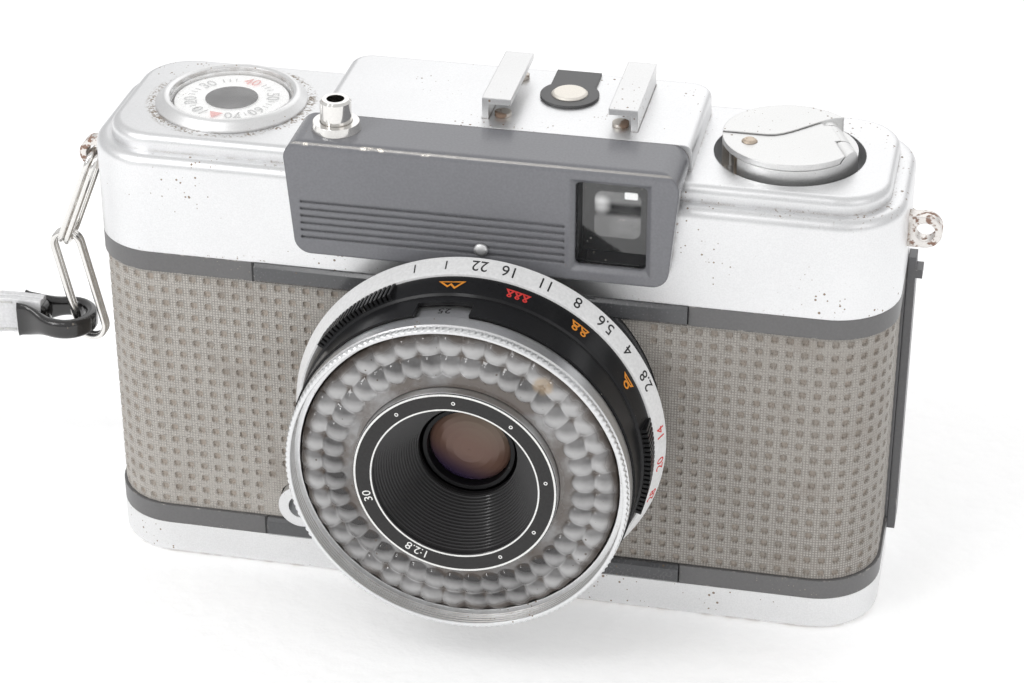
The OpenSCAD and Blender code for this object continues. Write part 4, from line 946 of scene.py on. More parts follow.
# The faceplate's top front edge carries the scuffs and a painted highlight line.
FACE_GREY = Paint(
    "face_grey", (0.18, 0.182, 0.196), 0.21, 0.0, 0.0, 0.1, 0.1, edge=0.45, scuff_and_highlight_edge=(0.0, -16.93, 67.68)
)
BAND_GREY = Paint(
    "band_grey", (0.135, 0.133, 0.134), 0.42, 0.1, 0.40, 0.3, 0.3, (0.36, 0.32, 0.26), speck_scale=3200.0
)
STRIP_GREY = Paint("strip_grey", (0.075, 0.076, 0.08), 0.26, 0.5, 0.3, 0.3, 0.2)
DOOR_GREY = Paint("door_grey", (0.14, 0.14, 0.145), 0.4, 0.1, 0.34, 0.3, 0.2)
SATIN_BLACK = Paint(
    "satin_black", (0.009, 0.009, 0.01), 0.3, 0.12, 0.26, 0.22, 0.2, (0.3, 0.28, 0.25), 0.15, shine=0.18
)
CONE_BLACK = Paint("cone_black", (0.017, 0.016, 0.017), 0.33, 0.3, 0.12, 0.1, 0.08, (0.2, 0.2, 0.2), 0.05)
NAME_GREY = Paint(
    "name_grey", (0.03, 0.029, 0.029), 0.4, 0.0, 0.1, 0.1, 0.05, (0.2, 0.2, 0.2), 0.05, shine=0.25
)
MATT_CASTING = Paint("matt_casting", (0.02, 0.02, 0.021), 0.6, 0.0, 0.22, 0.3, 0.1)
COUNTER_PANE = Pane("counter_pane", (0.95, 0.95, 0.95), 0.11)
FINDER_PANE = Pane("finder_pane", (0.8, 0.82, 0.85), 0.012, 0.3)
FINDER_PAINTED_VIEW = FinderPaintedView("finder_painted_view")
LENS_GLASS = Glass("lens_glass", (0.93, 0.95, 0.97), dust=0.2)
COATED_GLASS = LensCoat("coated_glass")
REAR_GLASS = Glass("rear_glass", (0.75, 0.6, 0.8), 0.9, bend=1.7)
BUBBLE_GLASS = Bubbles("bubble_glass")
CELL_PLATE = Moulded("cell_plate", (0.05, 0.035, 0.03), 0.3, 0.3)
LEATHERETTE = Woven("leatherette")
BLACK_PLASTIC = Moulded("black_plastic", (0.018, 0.018, 0.018), 0.42)
GREY_PLASTIC = Moulded("grey_plastic", (0.10, 0.10, 0.102), 0.42)
HOUSING_BLACK = Moulded("housing_black", (0.012, 0.012, 0.013), 0.5)
BLACK_RUBBER = Moulded("black_rubber", (0.012, 0.011, 0.011), 0.2, 0.7, 0.0, 0.3, (0.2, 0.17, 0.13))
# The rim and the dial carry a painted glow that brightens them.
RIM_SILVER = Moulded("rim_silver", (0.76, 0.76, 0.76), 0.45, dust=0.08, painted_light=0.1)
DIAL_WHITE = Moulded("dial_white", (0.93, 0.93, 0.92), 0.45, dust=0.05, painted_light=0.22)
PALE_VINYL = Moulded("pale_vinyl", (0.80, 0.80, 0.81), 0.2, 0.5, 0.25, 0.05)
THREAD_GREY = Moulded("thread_grey", (0.66, 0.66, 0.64), 0.7)
BLACK_INK = Ink("black_ink", (0.015, 0.015, 0.016))
FADED_INK = Ink("faded_ink", (0.54, 0.54, 0.54))
FADED_RED = Ink("faded_red", (0.80, 0.42, 0.40))
DISC_INK = Ink("disc_ink", (0.06, 0.058, 0.058))
WHITE_INK = Ink("white_ink", (0.80, 0.80, 0.78))
RED_INK = Ink("red_ink", (0.62, 0.035, 0.03))
ORANGE_INK = Ink("orange_ink", (0.72, 0.26, 0.02))

DRESS: Dict[Finish, Tuple[str, ...]] = {
    SATIN_CHROME: ("top_cover",),
    BASE_CHROME: ("base_cover",),
    RING_CHROME: ("sync_socket",),
    BEZEL_CHROME: ("counter_bezel",),
    KNOB_CHROME: ("rewind_knob", "rewind_crank", "rewind_ring"),
    RIVET_BROWN: ("crank_knob",),
    SHOE_STEEL: ("shoe_rails",),
    CONTACT_DULL: ("shoe_contact",),
    RUSTY_SCREW: ("screws",),
    LUG_STEEL: ("strap_lugs",),
    BRIGHT_NICKEL: (
        "release_button", "release_collar", "rewind_button", "chain_link_upper", "chain_link_lower",
    ),
    PLAIN_STEEL: ("rewind_fork", "hinge_pin", "blade_a", "blade_b", "meter_needle"),
    YELLOW_BRASS: ("tripod_bush", "counter_bridge"),
    FACE_GREY: ("faceplate",),
    BAND_GREY: ("trim_bands",),
    STRIP_GREY: ("escutcheon",),
    DOOR_GREY: ("back_door", "back_latch"),
    SATIN_BLACK: ("focus_ring", "index_sleeve", "lens_cell", "pressure_plate"),
    MATT_CASTING: ("chassis", "sprocket", "meter", "shutter_case"),
    COUNTER_PANE: ("counter_window",),
    FINDER_PANE: ("finder_window",),
    FINDER_PAINTED_VIEW: ("finder_lens",),
    LENS_GLASS: ("eyepiece_lens",),
    COATED_GLASS: ("front_element",),
    REAR_GLASS: ("rear_element",),
    CELL_PLATE: ("light_cell",),
    BLACK_PLASTIC: ("take_up_spool",),
    GREY_PLASTIC: ("shoe_insulator",),
    HOUSING_BLACK: ("finder_housing",),
    DIAL_WHITE: ("counter_dial",),
}


def smooth_by_angle(mesh: bpy.types.Mesh, degrees: float) -> None:
    """Shades a mesh smooth, apart from edges sharper than an angle."""
    mesh.shade_smooth()
    mesh.set_sharp_from_angle(angle=math.radians(degrees))


class Shape:
    """Collects points in millimetres and faces, and makes one piece of them."""

    def __init__(self, name: str) -> None:
        """Starts an empty piece.

        Args:
            name: the piece's name.
        """
        self.name = name
        self.points: List[Point] = []
        self.faces: List[Tuple[int, ...]] = []
        self.marks: List[int] = []
        self.values: Dict[str, List[Any]] = {}

    def add(self, points: Iterable[Point]) -> List[int]:
        """Adds points.

        Args:
            points: the points, in millimetres.

        Returns:
            Their numbers.
        """
        first = len(self.points)
        self.points.extend(points)
        return list(range(first, len(self.points)))

    def face(self, ids: Sequence[int], mark: int = 0) -> None:
        """Adds a face over points, with the number of its finish."""
        self.faces.append(tuple(ids))
        self.marks.append(mark)

    def grid(
        self, rows: Sequence[Sequence[int]], around: bool = False, closed: bool = False, mark: int = 0
    ) -> None:
        """Joins rows of points by faces.

        Args:
            rows: numbers of the points, row by row, all rows equally long.
            around: whether each row closes on itself.
            closed: whether the last row joins the first.
            mark: number of the faces' finish.
        """
        count = len(rows[0])
        pairs = list(zip(rows, rows[1:])) + ([(rows[-1], rows[0])] if closed else [])
        for low, high in pairs:
            for i in range(count if around else count - 1):
                j = (i + 1) % count
                self.face((low[i], low[j], high[j], high[i]), mark)

    def lathe(self, profile: Sequence[Flat], steps: int, at: Placer, mark: int = 0) -> None:
        """Turns a closed profile round an axis.

        Args:
            profile: radius and station of each corner.
            steps: how many steps a turn has.
            at: gives the point at a radius, an angle in degrees and a station.
            mark: number of the faces' finish.
        """
        rows = [self.add(at(r, FULL_TURN * i / steps, s) for i in range(steps)) for r, s in profile]
        self.grid(rows, around=True, closed=True, mark=mark)

    def sweep(self, section: Sequence[Flat], path: Sequence[Point], swell: Sequence[Flat] = ()) -> None:
        """Carries a closed section along an open path, with its height kept upright, and closes its ends.

        Args:
            section: offsets to the side and upwards.
            path: points that the section follows.
            swell: how much wider and higher the section is at each point, if it changes.
        """
        rows: List[List[int]] = []
        for i, here in enumerate(path):
            ahead = (Vector(path[min(i + 1, len(path) - 1)]) - Vector(path[max(i - 1, 0)])).normalized()
            side = Vector(UP).cross(ahead).normalized()
            rise = ahead.cross(side)
            wide, high = swell[i] if swell else (1.0, 1.0)
            rows.append(self.add(tuple(Vector(here) + a * wide * side + b * high * rise) for a, b in section))
        self.cap(rows)

    def cap(self, rows: Sequence[Sequence[int]]) -> None:
        """Joins closed rows to a tube and closes its two ends.

        Args:
            rows: numbers of the points, row by row.
        """
        self.grid(rows, around=True)
        self.face(list(reversed(rows[0])))
        self.face(rows[-1])

    def make(
        self,
        finishes: Sequence[Finish],
        body: Body,
        instead_of: Sequence[str] = (),
        smooth: float = 35.0,
    ) -> bpy.types.Object:
        """Makes the piece.

        Args:
            finishes: its finishes, in the order of the faces' numbers.
            body: the body that it rides on.
            instead_of: CAD nodes that it stands for.
            smooth: angle in degrees up to which edges are shaded smooth.

        Returns:
            The new object.
        """
        mesh = bpy.data.meshes.new(self.name)
        mesh.from_pydata([tuple(c * MM for c in p) for p in self.points], [], self.faces)
        mesh.polygons.foreach_set("material_index", self.marks)
        for name, values in self.values.items():
            wide = isinstance(values[0], tuple)
            layer = mesh.attributes.new(name, "FLOAT_VECTOR" if wide else "FLOAT", "POINT")
            flat = [c for v in values for c in v] if wide else values
            layer.data.foreach_set("vector" if wide else "value", flat)
        work = bmesh.new()
        work.from_mesh(mesh)
        bmesh.ops.recalc_face_normals(work, faces=work.faces)
        work.to_mesh(mesh)
        work.free()
        for finish in finishes:
            mesh.materials.append(finish.material())
        smooth_by_angle(mesh, smooth)
        piece = bpy.data.objects.new(self.name, mesh)
        bpy.context.scene.collection.objects.link(piece)
        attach(piece, body.value)
        if instead_of:
            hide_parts(*instead_of)
        LOG.info("%s: %d faces on %s", self.name, len(mesh.polygons), body.value)
        return piece


class Marks:
    """Flat marks, drawn in millimetres and laid on a surface with a little thickness."""

    thick: float = 0.035
    sunk: float = 0.01
    circle_steps: int = 14
    curve_steps: int = 3
    capital: float = 0.7

    def __init__(self) -> None:
        """Starts with nothing drawn."""
        self.plates: List[Tuple[List[Flat], List[Tuple[int, ...]]]] = []

    def stroke(self, line: Sequence[Flat], width: float, closed: bool = False) -> "Marks":
        """Draws a line of a width with mitred corners.

        Args:
            line: its points.
            width: its width.
            closed: whether it returns to its start.

        Returns:
            These marks.
        """
        count = len(line)
        left: List[Flat] = []
        right: List[Flat] = []
        for i, (x, y) in enumerate(line):
            before = line[(i - 1) % count] if closed or i > 0 else None
            after = line[(i + 1) % count] if closed or i < count - 1 else None
            ways = []
            for a, b in ((before, (x, y)), ((x, y), after)):
                if a is not None and b is not None:
                    ways.append(Vector((b[0] - a[0], b[1] - a[1])).normalized())
            mean = (ways[0] + ways[-1]).normalized()
            reach = 0.5 * width / max(0.5, mean.dot(ways[0]))
            left.append((x - mean.y * reach, y + mean.x * reach))
            right.append((x + mean.y * reach, y - mean.x * reach))
        faces = []
        for i in range(count if closed else count - 1):
            n = (i + 1) % count
            faces.append((i, count + i, count + n, n))
        self.plates.append((left + right, faces))
        return self

    def patch(self, outline: Sequence[Flat]) -> "Marks":
        """Draws a filled convex outline."""
        self.plates.append((list(outline), [tuple(range(len(outline)))]))
        return self

    def ring(self, x: float, y: float, radius: float, width: float) -> "Marks":
        """Draws a small circle line.

        Args:
            x: where its middle is along.
            y: where its middle is across.
            radius: its radius.
            width: its width.

        Returns:
            These marks.
        """
        turns = [2 * math.pi * i / self.circle_steps for i in range(self.circle_steps)]
        line = [(x + radius * math.cos(a), y + radius * math.sin(a)) for a in turns]
        return self.stroke(line, width, True)

    def tick(self, half_wide: float, low: float, high: float) -> "Marks":
        """Draws a straight upright line as a filled outline."""
        return self.patch([(-half_wide, low), (half_wide, low), (half_wide, high), (-half_wide, high)])

    def figures(self, text: str, height: float, x: float = 0.0, y: float = 0.0, wide: float = 1.0) -> "Marks":
        """Writes plain figures.

        Args:
            text: the figures.
            height: their height.
            x: where their middle is along the line.
            y: where their middle is across the line.
            wide: how wide they are against their usual width.

        Returns:
            These marks.
        """
        curve = bpy.data.curves.new("figures", "FONT")
        curve.body = text
        curve.align_x = "CENTER"
        curve.resolution_u = self.curve_steps
        holder = bpy.data.objects.new("figures", curve)
        mesh = bpy.data.meshes.new_from_object(holder)
        tall = height / self.capital
        points = [(x + v.co.x * tall * wide, y + v.co.y * tall - 0.5 * height) for v in mesh.vertices]
        self.plates.append((points, [tuple(p.vertices) for p in mesh.polygons]))
        bpy.data.objects.remove(holder)
        bpy.data.curves.remove(curve)
        bpy.data.meshes.remove(mesh)
        return self

    def lay(self, shape: Shape, onto: Placer, mark: int = 0) -> None:
        """Lays the marks on a surface, as thin closed plates.

        Args:
            shape: the piece that they are added to.
            onto: gives the point for a place along, across and above the surface.
            mark: number of their finish.
        """
        for points, faces in self.plates:
            top = shape.add(onto(u, v, self.thick) for u, v in points)
            low = shape.add(onto(u, v, -self.sunk) for u, v in points)
            edges: List[Tuple[int, int]] = []
            for ids in faces:
                shape.face([top[i] for i in ids], mark)
                shape.face([low[i] for i in reversed(ids)], mark)
                edges.extend(zip(ids, ids[1:] + ids[:1]))
            known = set(edges)
            for a, b in edges:
                if (b, a) not in known:
                    shape.face((top[a], low[a], low[b], top[b]), mark)


def rounded_bar(width: float, height: float, radius: float, steps: int = 4) -> List[Flat]:
    """Gives the section of a bar with rounded corners.

    Args:
        width: size to the side.
        height: size upwards.
        radius: radius of the corners.
        steps: steps of each corner.

    Returns:
        The corners of the section, counter-clockwise.
    """
    section: List[Flat] = []
    for turn, (sx, sy) in enumerate(((1, 1), (-1, 1), (-1, -1), (1, -1))):
        for i in range(steps + 1):
            a = math.radians(90.0 * turn + 90.0 * i / steps)
            across = sx * (width / 2 - radius) + radius * math.cos(a)
            section.append((across, sy * (height / 2 - radius) + radius * math.sin(a)))
    return section


def ease(t: float, start: float, end: float) -> float:
    """Goes smoothly from 0 at start to 1 at end."""
    u = max(0.0, min(1.0, (t - start) / (end - start)))
    return u * u * (3.0 - 2.0 * u)


@dataclass
class Studio:
    """Camera, floor and light."""

    camera_at: Point = (68.39, -320.74, 220.92)
    looks_at: Point = (4.3, -14.75, 40.42)
    focal: float = 96.6
    sensor: float = 36.0
    clip: Flat = (0.01, 50.0)
    floor_size: float = 6000.0
    floor_tones: Tuple[Colour, Colour] = ((0.86, 0.86, 0.86), (0.92, 0.92, 0.92))
    floor_glow: float = 0.3
    horizon: Colour = (0.82, 0.82, 0.83)
    room_light: float = 0.72
    lamps: Tuple[Tuple[str, Point, float, float], ...] = (
        ("key", (-330.0, -300.0, 430.0), 220.0, 0.7),
        ("edge", (-120.0, -300.0, 520.0), 80.0, 0.15),
        ("glint", (-430.0, -520.0, 330.0), 60.0, 0.16),
        ("fill", (560.0, -420.0, 520.0), 420.0, 0.38),
        ("back", (60.0, 700.0, 520.0), 760.0, 1.15),
    )

    def build(self) -> None:
        """Sets up the camera, the floor, the world and the lamps."""
        scene = bpy.context.scene
        scene.view_settings.view_transform = "Standard"
        data = bpy.data.cameras.new("photo_camera")
        data.lens = self.focal
        data.sensor_width = self.sensor
        data.clip_start, data.clip_end = self.clip
        camera = bpy.data.objects.new("photo_camera", data)
        self.aim(camera, self.camera_at)
        scene.camera = camera
        self.floor()
        self.world(scene)
        for lamp in self.lamps:
            self.lamp(*lamp)
        LOG.info("studio ready with %d lamps", len(self.lamps))

    def aim(self, thing: bpy.types.Object, at: Point) -> None:
        """Stands a camera or a lamp at its place, turned to the camera body.

        Args:
            thing: the camera or the lamp.
            at: its place.
        """
        thing.location = Vector(at) * MM
        thing.rotation_euler = (Vector(self.looks_at) - Vector(at)).to_track_quat("-Z", "Y").to_euler()
        bpy.context.scene.collection.objects.link(thing)

    def floor(self) -> None:
        """Makes the pale floor."""
        half = self.floor_size / 2
        mesh = bpy.data.meshes.new("floor")
        corners = [(-half, -half), (half, -half), (half, half), (-half, half)]
        mesh.from_pydata([(x * MM, y * MM, 0.0) for x, y in corners], [], [(0, 1, 2, 3)])
        material = bpy.data.materials.new("floor_white")
        material.use_nodes = True
        graph = Graph(material.node_tree)
        surface = material.node_tree.nodes["Principled BSDF"].inputs
        graph.feed(surface["Base Color"], graph.blend(graph.noise(260.0, 4.0), *self.floor_tones))
        graph.fill(surface, {
            "Roughness": 0.9, "Emission Color": (*WHITE, 1.0), "Emission Strength": self.floor_glow,
        })
        graph.bump(surface, graph.noise(330.0, 3.0), 0.6, 0.5)
        mesh.materials.append(material)
        floor = bpy.data.objects.new("floor", mesh)
        bpy.context.scene.collection.objects.link(floor)

    def world(self, scene: bpy.types.Scene) -> None:
        """Makes a white room that is a little darker at the horizon.

        Args:
            scene: the scene that stands in it.
        """
        world = bpy.data.worlds.new("white_room")
        scene.world = world
        world.use_nodes = True
        world.node_tree.nodes.clear()
        graph = Graph(world.node_tree)
        way = graph.add("ShaderNodeTexCoord").outputs["Generated"]
        height = graph.part("Z", way)
        tone = graph.blend(graph.span(height, -0.05, 0.55), self.horizon, WHITE)
        back = graph.add("ShaderNodeBackground", {"Color": tone, "Strength": self.room_light})
        graph.add("ShaderNodeOutputWorld", {"Surface": back.outputs[0]})

    def lamp(self, name: str, at: Point, size: float, power: float) -> None:
        """Adds a large square lamp that points at the camera body.

        Args:
            name: its name.
            at: its place.
            size: its width.
            power: its power in watts.
        """
        data = bpy.data.lights.new(name, "AREA")
        data.shape = "SQUARE"
        data.size = size * MM
        data.energy = power
        self.aim(bpy.data.objects.new(name, data), at)


@dataclass
class WristStrap:
    """Pale vinyl strap in two layers, with its black loop on the chain."""

    start_x: float = -66.3
    run: float = 96.0
    middle_y: float = -1.75
    clamp_z: float = 29.09
    floor_z: float = 3.0
    width: float = 5.6
    thick: float = 1.16
    opening: float = 11.0
    loop_x: float = -58.5
    loop_tail: float = -69.5
    nose_r: float = 4.2
    tube: Flat = (1.62, 2.8)
    clamp: Flat = (1.04, 5.0)
    gap: float = 0.6
    parts: int = 16
    side_points: int = 14
    far_turn: float = 7.0
    finer_by: int = 3
    stitch_level: float = 2.15
    tail_out: float = 1.79
    lip: float = 0.12
    arm_steps: int = 14
    nose_steps: int = 22
    plug: Flat = (2.6, 4.0)
    plug_step: float = 0.22
    plug_taper: Tuple[Flat, ...] = ((1.0, 1.0), (0.97, 0.95), (0.9, 0.82), (0.72, 0.62), (0.3, 0.3))

    def route(self) -> List[Point]:
        """Plans the strap from one side of the clamp to the other.

        Returns:
            The points that it follows.
        """
        side = []
        for i in range(self.side_points):
            t = i / self.parts
            out = self.gap + self.opening * ease(t, 0.04, 0.6)
            drop = self.clamp_z + (self.floor_z - self.clamp_z) * ease(t, 0.05, 0.55)
            side.append((self.start_x - self.run * t, out, drop))
        far_x = self.start_x - self.run * (self.side_points - 1) / self.parts - self.far_turn
        reach = self.gap + self.opening
        turn = []
        for a in range(280, 79, -20):
            bend = math.radians(a)
            turn.append((far_x + reach * math.cos(bend), self.middle_y + reach * math.sin(bend), self.floor_z))
        near = [(x, self.middle_y - out, z) for x, out, z in side]
        back = [(x, self.middle_y + out, z) for x, out, z in reversed(side)]
        return near + turn + back

    @staticmethod
    def finer(points: Sequence[Point], parts: int) -> List[Point]:
        """Puts more points on a route, on a smooth curve through its own.

        Args:
            points: the route.
            parts: how many parts each stretch is cut into.

        Returns:
            The finer route.
        """
        fine: List[Point] = []
        last = len(points) - 1
        for i in range(last):
            a, b, c, d = (Vector(points[min(max(i + k, 0), last)]) for k in (-1, 0, 1, 2))
            for j in range(parts):
                t = j / parts
                square, cube = 2 * a - 5 * b + 4 * c - d, 3 * b - a - 3 * c + d
                fine.append(tuple(0.5 * (2 * b + (c - a) * t + square * t * t + cube * t ** 3)))
        return fine + [tuple(points[-1])]

    def build(self) -> None:
        path = self.finer(self.route(), self.finer_by)
        strap = Shape("wrist_strap_band")
        strap.sweep(rounded_bar(self.thick, self.width, 0.42), path)
        band = strap.make([PALE_VINYL], Body.STRAP, ["wrist_strap"], SOFT_ANGLE)
        stitches = self.stitches(path)
        self.loop()

    def stitches(self, path: Sequence[Point]) -> bpy.types.Object:
        """Sews a row of stitches along both edges of the strap, on both of its faces.

        Args:
            path: the points that the strap follows.

        Returns:
            The stitches, as one piece.
        """
        shape = Shape("wrist_strap_stitches")
        section = rounded_bar(0.26, 0.34, 0.12, 2)
        for level in (-self.stitch_level, self.stitch_level):
            for i in range(2, len(path) - 3):
                here, there = Vector(path[i]), Vector(path[i + 1])
                ahead = (there - here).normalized()
                side = Vector(UP).cross(ahead).normalized()
                rise = ahead.cross(side)
                for face in (-1.0, 1.0):
                    lift = side * face * (self.thick / 2 - 0.02) + rise * level
                    ends = [here + lift + (there - here) * f for f in (0.12, 0.5, 0.88)]
                    shape.sweep(section, [tuple(e) for e in ends])
        return shape.make([THREAD_GREY], Body.STRAP)

    def loop(self) -> None:
        """Makes the black loop on the chain: a round nose, and a clamp over the strap's ends."""
        z = self.clamp_z
        bend_r = self.nose_r - self.tube[0] / 2
        nose_x = self.loop_x - self.nose_r
        slim, tall = self.clamp[0] / self.tube[0], self.clamp[1] / self.tube[1]
        line: List[Point] = []
        swell: List[Flat] = []
        for i in range(self.arm_steps + 1):
            t = i / self.arm_steps
            lip = self.lip * (1.0 - ease(t, 0.0, 0.1))
            out = self.tail_out + lip + (bend_r - self.tail_out) * ease(t, 0.12, 0.98)
            line.append((self.loop_tail + (nose_x - self.loop_tail) * t, self.middle_y + out, z))
            wide = slim + lip + (1.0 - slim) * ease(t, 0.2, 0.8)
            swell.append((wide, tall + lip - (tall - 1.0) * ease(t, 0.08, 0.78)))
        count = len(line)
        for i in range(1, self.nose_steps):
            a = math.radians(90.0 - 180.0 * i / self.nose_steps)
            line.append((nose_x + bend_r * math.cos(a), self.middle_y + bend_r * math.sin(a), z))
            swell.append((1.0, 1.0))
        line += [(x, 2 * self.middle_y - y, z) for x, y, _ in reversed(line[:count])]
        swell += list(reversed(swell[:count]))
        shape = Shape("strap_loop_band")
        shape.sweep(rounded_bar(*self.tube, 0.76, 5), line, swell)
        steps = range(len(self.plug_taper))
        plug = [(self.start_x + 0.1 + self.plug_step * i, self.middle_y, z) for i in steps]
        shape.sweep(rounded_bar(*self.plug, 0.6), plug, self.plug_taper)
        shape.make([BLACK_RUBBER], Body.STRAP, ["strap_loop"], SOFT_ANGLE)


@dataclass
class Leatherette:
    """Covering of the casing and the back, pressed with square pits.

    The lens seat and the sync socket are cut out of it. In parts of a cell's length, a cell is dropped when all
    its corners are in a cut or within spare of it, stays plain within plain of it, and has its corners moved to
    the cut's edge from as far inside as grasp. Only places that face forward, past facing in Y, are cut.
    """

    half_x: float = 53.6
    front_y: float = -14.35
    corner: float = 8.6
    low: float = 8.12
    high: float = 45.48
    left_end: float = 1.7
    right_end: float = 3.0
    rows: int = 19
    frame: float = 0.68
    pit: float = 0.5
    floor: float = 0.35
    depth: float = 0.3
    lip: float = 0.2
    bevel: float = 0.7
    thick: float = 0.5
    runs: Flat = (73.5, 74.5)
    seat: Flat = LENS_AT
    seat_r: float = 23.55
    socket: Flat = (-25.2, 11.3)
    socket_r: float = 3.4
    facing: float = -0.99
    spare: float = 0.25
    plain: float = 0.8
    grasp: float = 1.5

    def around(self, u: float, side: int) -> Tuple[Point, Point]:
        """Follows the wrap from the end of the casing to its front.

        Args:
            u: distance from the back edge of the covering.
            side: -1 for the left covering, 1 for the right one.

        Returns:
            The point at no height, and the direction outwards.
        """
        end = self.left_end if side < 0 else self.right_end
        straight = end - (self.front_y + self.corner)
        arc = self.corner * math.pi / 2
        if u <= straight:
            return (side * self.half_x, end - u, 0.0), (side, 0.0, 0.0)
        centre = (side * (self.half_x - self.corner), self.front_y + self.corner)
        if u <= straight + arc:
            a = (u - straight) / self.corner
            out = (side * math.cos(a), -math.sin(a), 0.0)
            return (centre[0] + self.corner * out[0], centre[1] + self.corner * out[1], 0.0), out
        return (centre[0] - side * (u - straight - arc), self.front_y, 0.0), (0.0, -1.0, 0.0)

    def build(self) -> None:
        """Makes the two coverings of the casing and the one of the back."""
        pitch = (self.high - self.low) / self.rows
        for side, node, run in ((-1, "skin_left", self.runs[0]), (1, "skin_right", self.runs[1])):
            shape = Shape(node + "_covering")
            self.press(shape, int(run / pitch), pitch, lambda u, s=side: self.around(u, s), True)
            self.thicken(shape.make([LEATHERETTE], Body.CASE, [node], COVER_ANGLE))
        low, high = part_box("door_skin")
        face = high[1] / MM
        shape = Shape("door_covering")
        span = (high[0] - low[0]) / MM
        columns = round(span / PIT_PITCH)
        back = (0.0, 1.0, 0.0)
        self.press(shape, columns, span / columns, lambda u: ((high[0] / MM - u, face, 0.0), back), False)
        self.thicken(shape.make([LEATHERETTE], Body.DOOR, ["door_skin"], COVER_ANGLE))

    def thicken(self, piece: bpy.types.Object) -> None:
        """Gives a covering its thickness, inwards.

        Args:
            piece: the covering, still a single sheet.
        """
        work = bmesh.new()
        work.from_mesh(piece.data)
        outward = 0.0
        for face in work.faces:
            middle = face.calc_center_median()
            outward += face.normal.dot(middle - Vector((0.0, 0.0, middle.z)))
        if outward < 0.0:
            bmesh.ops.reverse_faces(work, faces=work.faces)
        bmesh.ops.solidify(work, geom=list(work.faces), thickness=self.thick * MM)
        bmesh.ops.recalc_face_normals(work, faces=work.faces)
        work.to_mesh(piece.data)
        work.free()
        smooth_by_angle(piece.data, COVER_ANGLE)

    def press(self, shape: Shape, columns: int, pitch: float, wrap: Wrap, cut: bool) -> None:
        """Presses the pits, cell by cell.

        Args:
            shape: the piece that the cells are added to.
            columns: how many cells lie along the wrap.
            pitch: how long a cell is.
            wrap: gives the foot and the outward direction for a distance along the wrap.
            cut: whether the lens seat and the sync socket are cut out.
        """
        rise = (self.high - self.low) / self.rows
        known: Dict[Tuple[int, int], int] = {}
        shape.values = {"wrap": []}

        def put(u: float, v: float, sunk: float) -> int:
            """Adds a point.

            Args:
                u: its distance along the wrap.
                v: its height over the covering's lower edge.
                sunk: how deep it lies, as a part of the pits' depth.

            Returns:
                Its number.
            """
            foot, out = wrap(u)
            drop = self.depth * sunk
            shape.values["wrap"].append((u, v, sunk))
            return shape.add([(foot[0] - out[0] * drop, foot[1] - out[1] * drop, self.low + v)])[0]

        def corner(i: int, j: int) -> int:
            """Finds a corner between cells, and adds it on first use.

            Args:
                i: its number along the wrap.
                j: its number upwards.

            Returns:
                The number of its point.
            """
            if (i, j) not in known:
                u, v = self.snap(i * pitch, j * rise, wrap, pitch) if cut else (i * pitch, j * rise)
                known[(i, j)] = put(u, v, 0.0)
            return known[(i, j)]

        b = self.bevel
        bevelled = ((-1, -b), (-b, -1), (b, -1), (1, -b), (1, b), (b, 1), (-b, 1), (-1, b))
        for i in range(columns):
            for j in range(self.rows):
                places = ((i, j), (i + 1, j), (i + 1, j + 1), (i, j + 1))
                if cut and all(self.gone(p * pitch, q * rise, wrap, self.spare * pitch) for p, q in places):
                    continue
                ring = [corner(p, q) for p, q in places]
                mid_u, mid_v = (i + 0.5) * pitch, (j + 0.5) * rise
                if cut and self.gone(mid_u, mid_v, wrap, self.plain * pitch):
                    shape.face(ring)
                    continue
                loops = [
                    [put(mid_u + p * half, mid_v + q * half, sunk) for p, q in bevelled]
                    for half, sunk in ((self.frame, 0.0), (self.pit, -self.lip), (self.floor, 1.0))
                ]
                for k in range(4):
                    n = (k + 1) % 4
                    shape.face((ring[k], loops[0][2 * k + 1], loops[0][2 * k]))
                    shape.face((ring[k], ring[n], loops[0][2 * n], loops[0][2 * k + 1]))
                for outer, inner in zip(loops, loops[1:]):
                    for k in range(8):
                        n = (k + 1) % 8
                        shape.face((outer[k], outer[n], inner[n], inner[k]))
                shape.face(loops[-1])

    def gone(self, u: float, v: float, wrap: Wrap, margin: float) -> bool:
        """Tells whether a place is within the parts cut out, or near them.

        Args:
            u: its distance along the wrap.
            v: its height over the covering's lower edge.
            wrap: gives the foot and the outward direction for a distance along the wrap.
            margin: how near to a cut still counts.

        Returns:
            True where the covering is cut away.
        """
        foot, out = wrap(u)
        if out[1] > self.facing:
            return False
        z = self.low + v
        seat = math.hypot(foot[0] - self.seat[0], z - self.seat[1]) < self.seat_r + margin
        return seat or math.hypot(foot[0] - self.socket[0], z - self.socket[1]) < self.socket_r + margin

    def snap(self, u: float, v: float, wrap: Wrap, pitch: float) -> Flat:
        """Moves a corner that lies near a cut onto the cut's edge.

        Args:
            u: its distance along the wrap.
            v: its height over the covering's lower edge.
            wrap: gives the foot and the outward direction for a distance along the wrap.
            pitch: how long a cell is, which sets how far a corner may move.

        Returns:
            Where the corner goes.
        """
        foot, out = wrap(u)
        if out[1] > self.facing:
            return u, v
        z = self.low + v
        for (cx, cz), radius in ((self.seat, self.seat_r), (self.socket, self.socket_r)):
            away = math.hypot(foot[0] - cx, z - cz)
            if radius - self.grasp * pitch < away < radius + self.spare * pitch:
                to_z = min(self.high, max(self.low, cz + (z - cz) * radius / away))
                if min(z - self.low, self.high - z) < 0.01:
                    to_z = z
                reach = math.sqrt(max(0.0, radius ** 2 - (to_z - cz) ** 2))
                shift = cx + math.copysign(reach, foot[0] - cx) - foot[0]
                along = wrap(u + 0.1)[0][0] - foot[0]
                return u + math.copysign(1.0, along) * shift, to_z - self.low
        return u, v


